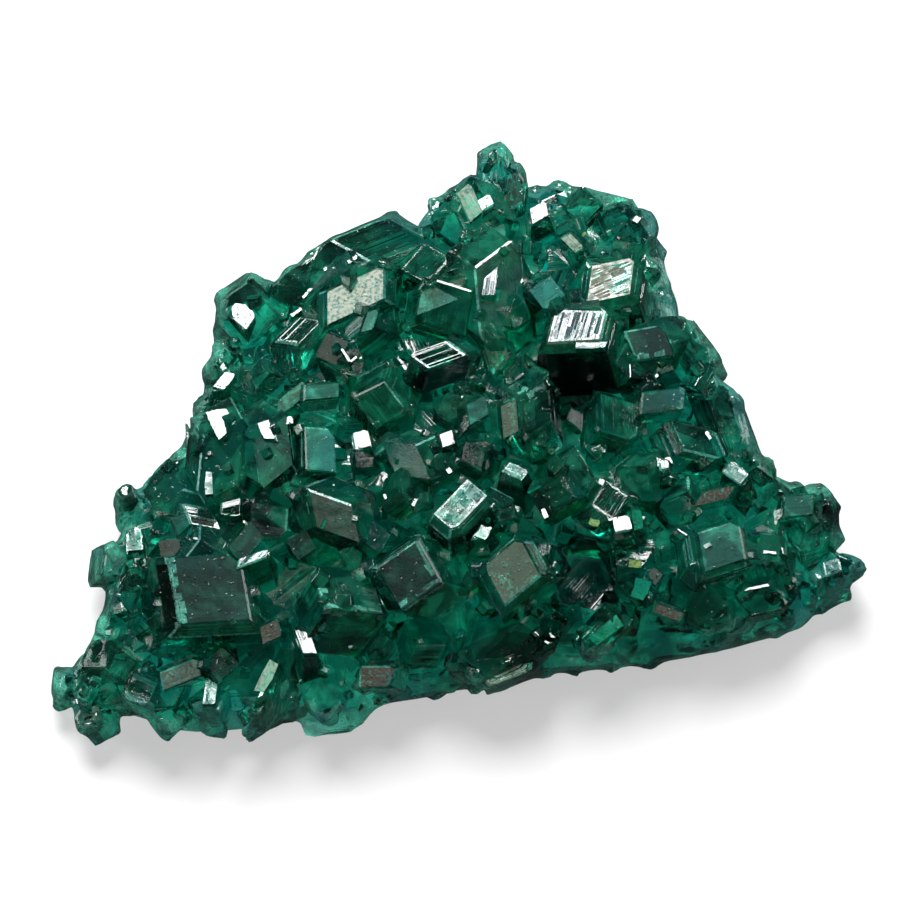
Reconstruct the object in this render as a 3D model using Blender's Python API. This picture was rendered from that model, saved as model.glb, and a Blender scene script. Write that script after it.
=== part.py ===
"""A specimen of dioptase: a small plate of emerald-green crystals grown through one another.

Every crystal is a six-sided prism closed at both ends by the three faces of a rhombohedron, the usual
habit of the mineral. The crystals cover a low domed crust and are joined with it in one solid, which
lies on the broken underside where it came off its rock. +Z is up from that underside, +X runs along
the plate's longest side, and the origin is under the middle of the plate.

Places are written in millimetres as the plate is seen from a little below the vertical, x to the
right and up the picture, because that is how the specimen shows its faces.
"""

import math
import random
from typing import NamedTuple

import bmesh
import bpy
from mathutils import Matrix, Vector

MM = 0.001

# Two points closer than this, in millimetres, are one
TOUCH = 1e-7

# The viewing direction that the places below are read along, leaning from the vertical towards -Y
VIEW_LEAN = math.radians(12)

# The crust that carries the crystals
RIM_TOP = 2.3
CREST_TOP = 8.3
DOME_POWER = 2.4
SWELL = 0.55
SWELL_LENGTH = 17.0
CRUST_MIDDLE = (-1.0, -3.5)
CRUST_SET_BACK = 0.9
TOP_RINGS = (1.0, 0.84, 0.55, 0.25)
RIM_WAIST = 1.4
UNDERSIDE_RISE = 0.9
UNDERSIDE_SHARE = 0.88

# How far past a corner of the outline a ray may still meet its side, as a share of that side
CORNER_SLACK = 1e-3

# Deep hollows between the crystals: place, half width, depth under the crust, and turn
HOLLOWS = ((8.3, -8.7, 1.8, 3.6, 20), (7.6, 3.7, 1.2, 2.0, 50))
HOLLOW_FLARE = math.radians(8)

# The crystal form: the rhombohedron's faces dip 51 degrees from the plane across the prism, and each
# stands over an edge of the prism, half a side's turn from the two side faces there
FACE_DIP = math.radians(50.9)
SIDE_STEP = math.radians(60)
SIDE_TURN = math.radians(30)
END_STEP = math.radians(120)
CORNER_SHARE = 1 / math.cos(SIDE_TURN)
GROWTH_SPREAD = 0.12

# Where the point of a crystal as long as it is wide lies, in shares of its corner's distance out: the
# rise of its end faces, and half the length of its shortest edges
POINT_RISE = 0.75
HALF_WAIST = 0.42

# The cube that a crystal is cut from, over half the crystal's length, and the one for other shapes
CRYSTAL_BLOCK = 8
SHAPE_BLOCK = 60.0

# The outline of the plate, clockwise from its lower left tip
OUTLINE = (
    (-26.8, -17.4), (-24.6, -12.3), (-23.7, -7.0), (-21.2, -2.2), (-18.6, 0.4), (-17.5, 4.6),
    (-14.0, 10.4), (-7.6, 14.6), (-3.0, 14.6), (-2.3, 15.9), (0.6, 17.6), (8.4, 17.8), (12.2, 16.9),
    (13.7, 14.8), (15.6, 8.6), (18.9, 3.4), (20.8, -1.8), (25.4, -4.0), (26.0, -6.4), (25.3, -10.9),
    (23.8, -12.7), (18.2, -14.4), (12.2, -15.6), (6.2, -16.1), (0.6, -17.3), (-3.8, -18.1),
    (-8.5, -18.7), (-13.1, -19.6), (-18.4, -20.0), (-22.2, -18.7), (-26.4, -18.4),
)

# Which way a crystal lies: its point towards the viewer, an end face flat to them, or a side face
POINT, FACE, SIDE = "point", "face", "side"


class Crystal(NamedTuple):
    """One crystal, as it lies on the plate.

    It stands at a place in the picture, so far over the crust, and its point looks to a heading. The
    face that shows leans from the vertical, towards a bearing. Angles are in degrees.
    """

    name: str
    x: float
    up: float
    half_width: float
    ratio: float
    lie: str
    heading: float
    lean: float
    towards: float
    over: float


class Facet(NamedTuple):
    """One flat face that stands out, on a crystal of its own.

    Its two edges are seen at their lengths and directions, and it is turned one of the ways below.
    """

    name: str
    x: float
    up: float
    edge: float
    turn: float
    other_edge: float
    other_turn: float
    way: tuple
    over: float


# The crystals that give the plate its look
MAIN_CRYSTALS = (
    ("shoulder_body", -6.9, 8.9, 2.2, 1.4, FACE, 57, 26, 300, 1.9),
    ("shoulder_front", -5.8, 7.6, 2.0, 1.2, POINT, 40, 12, 300, 2.7),
    ("shoulder_back", -5.6, 13.2, 2.3, 1.6, SIDE, 28, 22, 70, 2.4),
    ("left_crest", -9.6, 12.2, 1.3, 2.4, SIDE, 42, 26, 130, 2.0),
    ("left_crest_low", -8.6, 10.6, 1.1, 2.4, SIDE, 44, 30, 150, 1.8),
    ("mirror_body", -14.2, 7.6, 2.1, 1.2, FACE, 82, 30, 250, 1.3),
    ("left_knuckle", -12.9, 9.9, 1.2, 1.3, FACE, 120, 30, 120, 1.1),
    ("left_lobe", -16.4, 1.9, 1.6, 1.3, FACE, 150, 24, 170, 1.2),
    ("left_bump", -16.6, 5.6, 1.2, 1.3, POINT, 20, 40, 160, 0.9),
    ("left_glance_body", -15.3, 3.6, 1.4, 1.3, POINT, 35, 20, 200, 1.2),
    ("window_body", -15.6, -1.2, 2.3, 1.4, SIDE, 84, 10, 215, 2.5),
    ("slot_body", -12.2, -0.7, 1.9, 1.5, SIDE, 98, 12, 330, 2.0),
    ("frosted_gable", -4.6, 3.9, 2.2, 1.25, POINT, 15, 12, 80, 2.9),
    ("olive_body", -1.4, 8.3, 2.2, 1.2, FACE, 30, 32, 245, 1.9),
    ("dark_block", 2.7, 9.9, 2.5, 1.35, SIDE, 96, 16, 330, 3.1),
    ("dark_block_head", 2.2, 12.6, 1.9, 1.4, POINT, 60, 18, 100, 2.4),
    ("cap_body", 1.2, 15.2, 1.7, 1.4, SIDE, 118, 20, 215, 1.9),
    ("cap_shoulder", -0.6, 15.4, 1.4, 1.3, FACE, 150, 30, 130, 1.2),
    ("spire", 2.5, 17.6, 1.25, 2.0, SIDE, 91, 6, 200, 2.4),
    ("spire_side", 3.9, 16.9, 0.85, 2.2, SIDE, 84, 14, 330, 2.0),
    ("crown_b", 8.5, 16.7, 1.2, 1.3, POINT, 40, 34, 80, 1.1),
    ("crown_c", 11.3, 15.9, 1.4, 1.25, POINT, 10, 38, 60, 1.2),
    ("crown_d", 12.6, 14.2, 1.3, 1.3, FACE, 75, 30, 30, 1.2),
    ("crown_e", 13.2, 11.9, 1.5, 1.3, POINT, 55, 36, 10, 1.2),
    ("dome_body", 10.3, 9.8, 2.1, 1.2, POINT, 62, 20, 300, 2.7),
    ("cube_body", 8.6, 6.3, 2.3, 1.2, FACE, 137, 36, 262, 2.5),
    ("right_rhomb", 12.9, 6.0, 2.0, 1.2, FACE, 197, 16, 310, 2.4),
    ("rim_block", 15.9, 6.4, 1.6, 1.5, SIDE, 128, 22, 30, 1.7),
    ("flank_prism", 18.5, 1.2, 1.7, 2.0, SIDE, 110, 20, 20, 2.1),
    ("two_tone", 5.2, 2.2, 1.9, 1.35, SIDE, 94, 14, 20, 3.2),
    ("two_tone_head", 4.4, 4.6, 1.6, 1.3, POINT, 30, 10, 100, 2.5),
    ("frosted_corner", -8.4, -11.2, 3.0, 1.15, POINT, 52, 17, 232, 4.1),
    ("great_block", -16.3, -10.1, 2.5, 1.25, FACE, 100, 26, 265, 2.2),
    ("long_edge", -2.1, -8.9, 2.5, 1.2, FACE, 168, 13, 318, 3.5),
    ("amber_body", 3.7, -9.1, 2.5, 1.2, POINT, 100, 16, 270, 3.2),
    ("low_slab", 3.1, -13.9, 1.8, 1.9, SIDE, 24, 20, 265, 2.3),
    ("spark_hex", 11.7, -5.3, 1.1, 1.3, POINT, 12, 10, 50, 2.5),
    ("green_chip", 9.4, -4.1, 1.4, 1.3, FACE, 10, 14, 150, 1.9),
    ("bead", 12.0, -9.6, 1.25, 1.15, POINT, 12, 10, 250, 2.5),
    ("slug", 10.0, -12.6, 1.15, 1.9, SIDE, 46, 14, 300, 2.1),
    ("hexagon_body", 17.5, -7.6, 2.0, 1.3, POINT, 92, 14, 275, 2.0),
    ("east_end", 24.2, -5.4, 1.6, 1.4, SIDE, 84, 16, 330, 1.5),
    ("east_knob", 26.2, -8.4, 0.75, 1.5, SIDE, 175, 10, 0, 0.9),
    ("east_frost", 24.8, -8.8, 1.3, 1.3, POINT, 30, 16, 250, 1.5),
    ("east_shoulder", 21.5, -3.0, 1.3, 1.3, POINT, 45, 20, 60, 1.3),
    ("right_middle_a", 12.6, -1.6, 1.9, 1.25, POINT, 230, 12, 60, 2.4),
    ("right_middle_b", 15.4, -3.5, 1.4, 1.3, POINT, 20, 18, 20, 1.9),
    ("right_middle_c", 15.8, 0.1, 1.6, 1.4, SIDE, 170, 18, 40, 1.9),
    ("right_middle_d", 21.0, -7.9, 1.7, 1.3, FACE, 130, 18, 330, 1.9),
    ("lower_right_a", 16.6, -10.9, 1.6, 1.4, SIDE, 150, 16, 290, 1.7),
    ("lower_right_b", 20.4, -10.6, 1.4, 1.5, SIDE, 12, 20, 300, 1.4),
    ("low_middle_c", -2.6, -13.4, 1.7, 1.3, POINT, 300, 14, 240, 2.0),
    ("tip_a", -25.4, -16.7, 1.1, 1.3, POINT, 10, 38, 210, 0.9),
    ("tip_b", -23.6, -14.7, 1.3, 1.3, FACE, 130, 26, 190, 1.2),
    ("tip_c", -23.0, -17.1, 1.2, 1.3, POINT, 35, 26, 260, 1.2),
    ("tip_d", -20.6, -16.1, 1.5, 1.3, FACE, 200, 20, 150, 1.5),
    ("tip_e", -19.3, -18.4, 1.2, 1.3, FACE, 260, 22, 270, 1.3),
    ("tip_f", -16.3, -17.6, 1.3, 1.3, POINT, 100, 14, 300, 1.5),
    ("west_a", -23.0, -11.0, 1.2, 1.3, POINT, 50, 30, 190, 1.0),
    ("west_b", -20.9, -9.1, 1.3, 1.3, FACE, 80, 24, 40, 1.4),
    ("west_c", -20.2, -12.3, 1.4, 1.3, POINT, 20, 18, 210, 1.5),
    ("west_d", -18.9, -3.1, 1.8, 1.3, FACE, 170, 24, 150, 1.6),
    ("low_rim_a", -8.9, -16.6, 1.6, 1.4, FACE, 280, 18, 265, 1.7),
    ("centre_a", -1.8, -0.7, 1.8, 1.3, FACE, 340, 14, 30, 2.3),
    ("centre_b", -3.8, -3.4, 1.5, 1.3, POINT, 30, 12, 220, 2.1),
    ("centre_c", -8.2, -4.9, 1.9, 1.4, SIDE, 160, 16, 250, 2.1),
    ("centre_d", -11.9, -4.6, 1.6, 1.3, FACE, 220, 16, 320, 2.0),
    ("centre_e", 6.6, -2.6, 1.8, 1.3, FACE, 255, 14, 200, 2.3),
    ("centre_f", 9.5, 0.9, 1.9, 1.3, POINT, 40, 18, 220, 1.8),
    ("upper_middle_a", -1.1, 5.6, 1.4, 1.4, SIDE, 20, 14, 110, 1.9),
    ("upper_middle_b", -10.7, 7.2, 1.6, 1.3, SIDE, 45, 18, 140, 1.8),
    ("upper_middle_c", -2.3, 12.4, 1.7, 1.3, FACE, 280, 18, 80, 2.0),
    ("upper_middle_d", -7.9, 5.3, 1.4, 1.3, FACE, 110, 14, 250, 1.9),
)

# The ways a flat face can be turned, as a lean from the vertical and the way it leans: to send the
# light from behind back to the viewer, to face them, or to look aside
BRIGHT, WARM, GREY = (12.0, 108.0), (14.0, 250.0), (12.0, 330.0)

# The flat faces that stand out
FACETS = (
    ("shoulder_face", -6.8, 9.7, 4.3, 25, 2.4, 90, WARM, 3.2),
    ("shoulder_chip", -5.9, 7.9, 0.9, 15, 1.5, 70, WARM, 3.1),
    ("mirror", -14.4, 8.5, 1.7, -40, 1.2, 55, BRIGHT, 2.3),
    ("left_glance", -15.6, 4.0, 0.9, -10, 1.4, 51, BRIGHT, 2.1),
    ("window", -15.4, 1.0, 0.9, 5, 2.3, 105, BRIGHT, 3.0),
    ("slot", -12.5, 0.6, 0.7, 0, 1.3, 110, BRIGHT, 2.6),
    ("spark", -6.4, 0.1, 1.1, 15, 1.1, 100, BRIGHT, 2.6),
    ("pane", -9.1, -0.6, 2.0, -5, 2.9, 92, GREY, 2.3),
    ("pale_ledge", -9.0, 3.3, 2.4, 5, 1.1, 88, GREY, 2.4),
    ("shard", -11.1, 2.8, 2.2, 38, 1.2, 84, WARM, 2.1),
    ("olive_face", -1.1, 9.7, 3.3, 21, 1.6, 78, WARM, 2.9),
    ("cap_face", 0.8, 15.9, 1.2, 40, 2.3, 115, WARM, 2.8),
    ("cap_chip", 1.9, 15.9, 0.9, 30, 0.8, 112, BRIGHT, 2.9),
    ("crown_glance", 5.4, 15.2, 1.3, 30, 1.1, 100, BRIGHT, 2.3),
    ("crown_chip", 7.6, 13.2, 1.4, -45, 0.8, 30, WARM, 2.4),
    ("dome_face", 10.2, 10.7, 3.1, 12, 2.5, 82, BRIGHT, 3.9),
    ("cube_face", 8.0, 7.7, 3.5, 3, 2.3, 76, BRIGHT, 3.8),
    ("slate", 6.0, 9.8, 1.7, 37, 1.7, -53, GREY, 3.7),
    ("head_face", 2.2, 13.2, 2.1, 22, 2.1, 85, GREY, 3.0),
    ("streak", 2.2, 11.0, 0.8, 0, 2.8, 82, BRIGHT, 3.5),
    ("rhomb_face", 12.8, 6.5, 2.6, 10, 2.2, 112, GREY, 3.1),
    ("ledge_face", 13.7, 2.7, 3.0, 8, 1.5, 85, GREY, 2.9),
    ("slate_hexagon", 1.3, 2.0, 1.5, 30, 1.4, 100, GREY, 2.4),
    ("two_tone_face", 3.4, 1.5, 1.2, 25, 2.2, 95, WARM, 3.3),
    ("silver_face", 0.2, -4.3, 3.3, 46, 1.8, -40, BRIGHT, 3.2),
    ("silver_chip", 3.8, -2.0, 1.5, -25, 0.8, 50, BRIGHT, 2.4),
    ("amber_spark", 1.6, -6.1, 1.0, 10, 0.9, 55, BRIGHT, 3.2),
    ("amber_face", 3.6, -8.6, 3.2, 40, 3.0, 118, WARM, 4.1),
    ("square_spark", 10.9, -5.5, 1.1, 10, 1.0, 100, BRIGHT, 2.9),
    ("gold_chip", 14.0, -11.4, 2.0, -20, 0.8, 60, WARM, 2.2),
    ("low_line", 3.4, -15.4, 3.3, 21, 0.85, 98, WARM, 2.7),
    ("block_face", -16.4, -9.8, 4.7, 3, 4.5, 100, GREY, 3.3),
    ("striped_face", -14.0, -6.7, 2.2, 50, 1.4, -50, GREY, 2.7),
    ("striped_bar", -13.6, -7.8, 2.1, 20, 0.6, 80, BRIGHT, 2.9),
    ("blue_spark", -10.1, -13.3, 1.0, 0, 1.8, 110, BRIGHT, 2.4),
    ("brown_chip", -12.4, -12.7, 1.3, 25, 1.2, 100, WARM, 2.2),
    ("striped_sliver", -12.6, -15.9, 0.7, 30, 2.6, 65, BRIGHT, 2.4),
    ("tan_face", -18.4, -15.5, 2.7, 22, 1.3, 100, WARM, 2.3),
    ("low_brown", -5.3, -15.7, 2.4, 0, 1.5, 88, WARM, 2.1),
    ("west_glance", -21.5, -6.5, 1.0, 5, 1.5, 95, BRIGHT, 1.9),
    ("west_chip", -22.2, -3.3, 1.2, 30, 0.9, 110, BRIGHT, 1.5),
    ("west_face", -22.6, -7.9, 1.8, 12, 2.0, 82, GREY, 1.5),
    ("tip_spark", -16.4, -16.6, 0.8, 0, 1.7, 82, BRIGHT, 2.2),
    ("flank_spark", 18.5, -2.1, 1.6, -35, 1.0, 50, BRIGHT, 2.2),
    ("flank_chip", 13.7, -1.6, 0.6, 15, 0.6, 100, BRIGHT, 3.1),
    ("brown_face", 17.0, -3.7, 2.4, 15, 1.1, 60, WARM, 2.4),
    ("hexagon_face", 17.5, -7.0, 2.9, 18, 2.7, 100, GREY, 2.9),
    ("east_face", 22.7, -4.3, 2.1, 5, 1.5, 85, GREY, 2.0),
    ("east_glance", 24.9, -8.4, 1.2, 20, 0.9, 100, BRIGHT, 2.0),
    ("low_triangle", 18.7, -12.1, 1.3, 35, 0.9, 90, GREY, 1.5),
)

# How the sides of a standing face slope: steep under its point, and elsewhere easy at first, for a
# share of the face's mean edge. The sides of a face with edges under the plain size are all steep.
# A share of the longer edges is cut off at one corner, and the face's crystal is rooted in the crust
STEEP_SIDE = math.radians(84)
EASY_SIDE = math.radians(48)
EASY_REACH = 0.2
PLAIN_SIZE = 2.0
FACET_ROOT = 1.2
CUT_CORNER = 0.16

# How much further out of the crust all the crystals stand, and the level in it that they grow from
LIFT = 1.35
ROOT_LEVEL = 1.2

# How often a crystal's place is moved to suit the crust's height there, until both agree
SETTLE_STEPS = 4

# The grids that smaller crystals are set on: half the columns, the depth that the rows cover, and
# the rows' distance over the columns'
GRID_COLUMNS = 12
GRID_DEPTH = 60.0
ROW_SHARE = math.sqrt(3) / 2

# The smaller crystals that fill the gaps, on a jittered grid
FILL_SPACING = 3.55
FILL_JITTER = 0.9
FILL_HALF_WIDTH = (0.75, 1.25)
FILL_LENGTH = (1.2, 1.7)
FILL_HEIGHT = (0.5, 1.7)
FILL_LEAN = 26.0
FILL_CLEARANCE = 0.7
FILL_INSET = 0.93
FILL_SEED = 11

# The row of crystals round the rim, which are small where the crust is thin along the lower right
RIM_STEP = 3.1
RIM_STEP_SPREAD = (0.8, 1.2)
RIM_HALF_WIDTH = (0.85, 1.35)
RIM_THIN = (-112.0, -22.0)
RIM_THIN_SHARE = 0.62
RIM_HEIGHTS = (0.3, 1.3)
RIM_LENGTH = 1.3
RIM_SET_BACK = 1.15
RIM_SWING = 50.0
RIM_LEAN = (20.0, 60.0)
RIM_SEED = 5

# The butts under the crust, cut level where the plate broke off, which it rests on
BUTT_SPACING = 9.6
BUTT_JITTER = 1.7
BUTT_HALF_WIDTH = (1.8, 2.8)
BUTT_INSET = 0.84
BUTT_RISE = 1.5
BUTT_LENGTH = 1.2
BUTT_LEAN = 30.0
BUTT_SEED = 3

CRYSTAL_GREEN = (0.012, 0.16, 0.095, 1.0)
CRYSTAL_ROUGHNESS = 0.12
CRYSTAL_IOR = 1.67


def clear_scene():
    """Remove what the startup file holds."""
    for obj in list(bpy.data.objects):
        bpy.data.objects.remove(obj)


def new_collection(name, shown):
    """Add a collection to the scene; the one that holds the joined crystals isn't shown."""
    collection = bpy.data.collections.new(name)
    bpy.context.scene.collection.children.link(collection)
    collection.hide_render = not shown
    return collection


def plan_y(seen_up, height):
    """Turn a height in the picture into a place along Y, for a point so far over the ground."""
    return (seen_up - height * math.sin(VIEW_LEAN)) / math.cos(VIEW_LEAN)


def crust_outline():
    """The crust's edge in the plan."""
    return [Vector((x, plan_y(up, RIM_TOP))) for x, up in OUTLINE]


def reach(outline, middle, direction):
    """How far the outline lies from the crust's middle in one direction."""
    farthest = 0.0
    for start, end in zip(outline, outline[1:] + outline[:1]):
        side = end - start
        turn = direction.x * side.y - direction.y * side.x
        if abs(turn) < TOUCH:
            continue
        gap = start - middle
        along = (gap.x * side.y - gap.y * side.x) / turn
        share = (gap.x * direction.y - gap.y * direction.x) / turn
        if along > 0 and -CORNER_SLACK <= share <= 1 + CORNER_SLACK:
            farthest = max(farthest, along)
    return farthest


def share_out(outline, place):
    """How far out a place lies: 0 at the crust's middle and 1 on its edge."""
    middle = Vector(CRUST_MIDDLE)
    offset = place - middle
    if offset.length < TOUCH:
        return 0.0
    return offset.length / reach(outline, middle, offset.normalized())


def crust_top(outline, place):
    """The height of the crust's upper side at a place in the plan."""
    out = min(share_out(outline, place), 1.0)
    dome = RIM_TOP + (CREST_TOP - RIM_TOP) * (1 - out**DOME_POWER)
    swell = SWELL * math.sin(place.x / SWELL_LENGTH * math.tau) * math.cos(place.y / SWELL_LENGTH * math.tau)
    return dome + swell * (1 - out)


def lie_matrix(lie, heading, lean, towards):
    """Turn a crystal from its own frame, axis up, to the way it lies on the plate."""
    if lie == POINT:
        turned = Matrix.Rotation(math.radians(heading), 3, "Z")
    elif lie == FACE:
        turned = Matrix.Rotation(math.radians(heading - 180), 3, "Z") @ Matrix.Rotation(-FACE_DIP, 3, "Y")
    else:
        flat = Matrix.Rotation(-math.pi / 2, 3, "Y") @ Matrix.Rotation(-SIDE_TURN, 3, "Z")
        turned = Matrix.Rotation(math.radians(heading - 180), 3, "Z") @ flat
    way = math.radians(towards)
    across = Vector((-math.sin(way), math.cos(way), 0))
    return Matrix.Rotation(math.radians(lean), 3, across) @ turned


def crystal_planes(half_width, half_length, rng):
    """The twelve planes of a crystal: six sides, and three end faces at each end."""
    planes = []
    for step in range(6):
        turn = SIDE_TURN + SIDE_STEP * step
        normal = Vector((math.cos(turn), math.sin(turn), 0))
        planes.append((normal, half_width * (1 + rng.uniform(-GROWTH_SPREAD, GROWTH_SPREAD))))
    for end in (1, -1):
        for step in range(3):
            turn = END_STEP * step
            flat = math.sin(FACE_DIP)
            normal = end * Vector((flat * math.cos(turn), flat * math.sin(turn), math.cos(FACE_DIP)))
            distance = half_length * math.cos(FACE_DIP)
            planes.append((normal, distance * (1 + rng.uniform(-GROWTH_SPREAD, GROWTH_SPREAD))))
    return planes


def cut_block(mesh_name, size, planes, middle=(0, 0, 0)):
    """Cut a cube down by planes, each given as a normal and its distance from the origin."""
    block = bmesh.new()
    bmesh.ops.create_cube(block, size=size, matrix=Matrix.Translation(middle))
    for normal, distance in planes:
        everything = block.verts[:] + block.edges[:] + block.faces[:]
        cut = bmesh.ops.bisect_plane(
            block, geom=everything, dist=TOUCH, plane_co=normal * distance, plane_no=normal, clear_outer=True
        )
        rim = [part for part in cut["geom_cut"] if isinstance(part, bmesh.types.BMEdge)]
        if rim:
            bmesh.ops.edgeloop_fill(block, edges=rim)
    bmesh.ops.recalc_face_normals(block, faces=block.faces)
    mesh = bpy.data.meshes.new(mesh_name)
    block.to_mesh(mesh)
    block.free()
    return mesh


def end_distance(half_width, length_ratio):
    """Half a crystal's length from point to point, from its length over its width."""
    corner = half_width * CORNER_SHARE
    shortest = corner * (math.tan(FACE_DIP) * POINT_RISE + HALF_WAIST)
    return shortest + half_width * (length_ratio - 1)


def face_reach(lie, half_width, half_length):
    """How far the part of a crystal that shows lies from its middle."""
    if lie == POINT:
        return half_length
    if lie == FACE:
        return half_length * math.cos(FACE_DIP)
    return half_width


class Plate:
    """Gathers the crystals in millimetres, and then sets them down as objects in metres."""

    def __init__(self):
        self.outline = crust_outline()
        self.shapes = []
        self.hollows = []

    def add_crystal(self, name, top, half_width, ratio, turned, lie, rng, level=0.0):
        """Add one crystal with the middle of its showing side at a point, cut off below a level."""
        half_length = end_distance(half_width, ratio)
        outward = turned @ {POINT: Vector((0, 0, 1)), FACE: face_normal(), SIDE: side_normal()}[lie]
        centre = top - outward * face_reach(lie, half_width, half_length)
        mesh = cut_block(name, CRYSTAL_BLOCK * half_length, crystal_planes(half_width, half_length, rng))
        mesh.transform(Matrix.Translation(centre) @ turned.to_4x4())
        self.shapes.append((name, cut_level(mesh, level)))


def face_normal():
    """The first end face's normal in the crystal's own frame."""
    return Vector((math.sin(FACE_DIP), 0, math.cos(FACE_DIP)))


def side_normal():
    """The first side face's normal in the crystal's own frame."""
    return Vector((math.cos(SIDE_TURN), math.sin(SIDE_TURN), 0))


def cut_level(mesh, level):
    """Cut away what lies under a level, and close the cut."""
    if min(vertex.co.z for vertex in mesh.vertices) >= level:
        return mesh
    body = bmesh.new()
    body.from_mesh(mesh)
    everything = body.verts[:] + body.edges[:] + body.faces[:]
    cut = bmesh.ops.bisect_plane(
        body, geom=everything, dist=TOUCH, plane_co=(0, 0, level), plane_no=(0, 0, 1), clear_inner=True
    )
    rim = [part for part in cut["geom_cut"] if isinstance(part, bmesh.types.BMEdge)]
    if rim:
        bmesh.ops.edgeloop_fill(body, edges=rim)
    bmesh.ops.recalc_face_normals(body, faces=body.faces)
    body.to_mesh(mesh)
    body.free()
    return mesh


def add_main_crystals(plate):
    """The crystals that can be told apart at a glance, each where it shows."""
    for index, row in enumerate(MAIN_CRYSTALS):
        one = Crystal(*row)
        rng = random.Random(index)
        top = settled(plate, one.x, one.up, one.over + LIFT)
        turned = lie_matrix(one.lie, one.heading, one.lean, one.towards)
        plate.add_crystal(one.name, top, one.half_width, one.ratio, turned, one.lie, rng, ROOT_LEVEL)


def facet_planes(outline, normal, depth):
    """The planes of a standing face: the face itself, the sides under each of its edges, and a base."""
    middle = sum(outline, Vector()) / len(outline)
    edges = list(zip(outline, outline[1:] + outline[:1]))
    size = sum((end - start).length for start, end in edges) / len(edges)
    highest = max(range(len(outline)), key=lambda corner: outline[corner].y)
    planes = [(-normal, depth - normal.dot(middle))]
    for corner, (start, end) in enumerate(edges):
        across = (end - start).cross(normal).normalized()
        under_point = corner in (highest, (highest - 1) % len(outline))
        steep = across * math.sin(STEEP_SIDE) + normal * math.cos(STEEP_SIDE)
        if under_point or size < PLAIN_SIZE:
            planes.append((steep, steep.dot(start)))
            continue
        easy = across * math.sin(EASY_SIDE) + normal * math.cos(EASY_SIDE)
        planes.append((easy, easy.dot(start)))
        planes.append((steep, steep.dot(start + across * size * EASY_REACH)))
    planes.append((normal, normal.dot(middle)))
    return planes


def add_facets(plate):
    """The flat faces that stand out, each on a crystal of its own."""
    for row in FACETS:
        one = Facet(*row)
        lean, towards = (math.radians(angle) for angle in one.way)
        flat = math.sin(lean)
        normal = Vector((flat * math.cos(towards), flat * math.sin(towards), math.cos(lean)))
        middle = settled(plate, one.x, one.up, one.over + LIFT)
        first = half_edge(one.edge, one.turn)
        second = half_edge(one.other_edge, one.other_turn)
        if first.cross(second) < 0:
            first = -first
        keep = 1 - 2 * CUT_CORNER
        seen = (-first - second, first - second, first + second * keep, first * keep + second, second - first)
        outline = [on_face(middle, normal, offset) for offset in seen]
        planes = facet_planes(outline, normal, one.over + LIFT + FACET_ROOT)
        mesh = cut_block(one.name, SHAPE_BLOCK, planes, middle)
        plate.shapes.append((one.name, cut_level(mesh, ROOT_LEVEL)))


def half_edge(length, turn):
    """Half an edge of a face, from its length and its direction in the picture."""
    angle = math.radians(turn)
    return Vector((math.cos(angle), math.sin(angle))) * length / 2


def on_face(middle, normal, offset):
    """The point of a face that is seen at an offset from its middle, along the picture's own axes."""
    right = Vector((1, 0, 0))
    up = Vector((0, math.cos(VIEW_LEAN), math.sin(VIEW_LEAN)))
    view = right.cross(up)
    seen = middle + right * offset.x + up * offset.y
    return seen + view * normal.dot(middle - seen) / normal.dot(view)


def settled(plate, x, up, over):
    """The top of a crystal that is seen at a place in the picture and stands so far over the crust."""
    place = Vector((x, plan_y(up, RIM_TOP)))
    for _ in range(SETTLE_STEPS):
        height = crust_top(plate.outline, place) + over
        place = Vector((x, plan_y(up, height)))
    return Vector((place.x, place.y, height))


def main_places(plate):
    """Where the main crystals and the standing faces are in the plan, with their half widths."""
    places = []
    for one in (Crystal(*row) for row in MAIN_CRYSTALS):
        places.append((settled(plate, one.x, one.up, one.over).xy, one.half_width))
    for one in (Facet(*row) for row in FACETS):
        places.append((settled(plate, one.x, one.up, one.over).xy, (one.edge + one.other_edge) / 4))
    for x, up, half_width, _, _ in HOLLOWS:
        places.append((settled(plate, x, up, 0).xy, half_width))
    return places


def grid_places(outline, spacing, jitter, inset, rng):
    """A jittered grid of places inside the outline, in rows set off by half a step."""
    places = []
    row_spacing = spacing * ROW_SHARE
    rows = int(GRID_DEPTH / row_spacing)
    for row in range(-rows // 2, rows // 2):
        for column in range(-GRID_COLUMNS, GRID_COLUMNS + 1):
            x = (column + row % 2 / 2) * spacing + rng.uniform(-jitter, jitter)
            y = row * row_spacing + rng.uniform(-jitter, jitter)
            place = Vector((x, y))
            if share_out(outline, place) < inset:
                places.append(place)
    return places


def add_fill_crystals(plate):
    """The smaller crystals between the main ones."""
    rng = random.Random(FILL_SEED)
    taken = main_places(plate)
    for index, place in enumerate(grid_places(plate.outline, FILL_SPACING, FILL_JITTER, FILL_INSET, rng)):
        half_width = rng.uniform(*FILL_HALF_WIDTH)
        lie = rng.choice((POINT, FACE, SIDE, FACE))
        heading = rng.uniform(0, 360)
        lean = rng.uniform(0, FILL_LEAN)
        towards = rng.uniform(0, 360)
        height = crust_top(plate.outline, place) + rng.uniform(*FILL_HEIGHT) + LIFT
        ratio = rng.uniform(*FILL_LENGTH)
        if any((place - other).length < FILL_CLEARANCE * (size + half_width) for other, size in taken):
            continue
        turned = lie_matrix(lie, heading, lean, towards)
        top = Vector((place.x, place.y, height))
        plate.add_crystal(f"fill_{index}", top, half_width, ratio, turned, lie, rng, ROOT_LEVEL)


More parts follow.
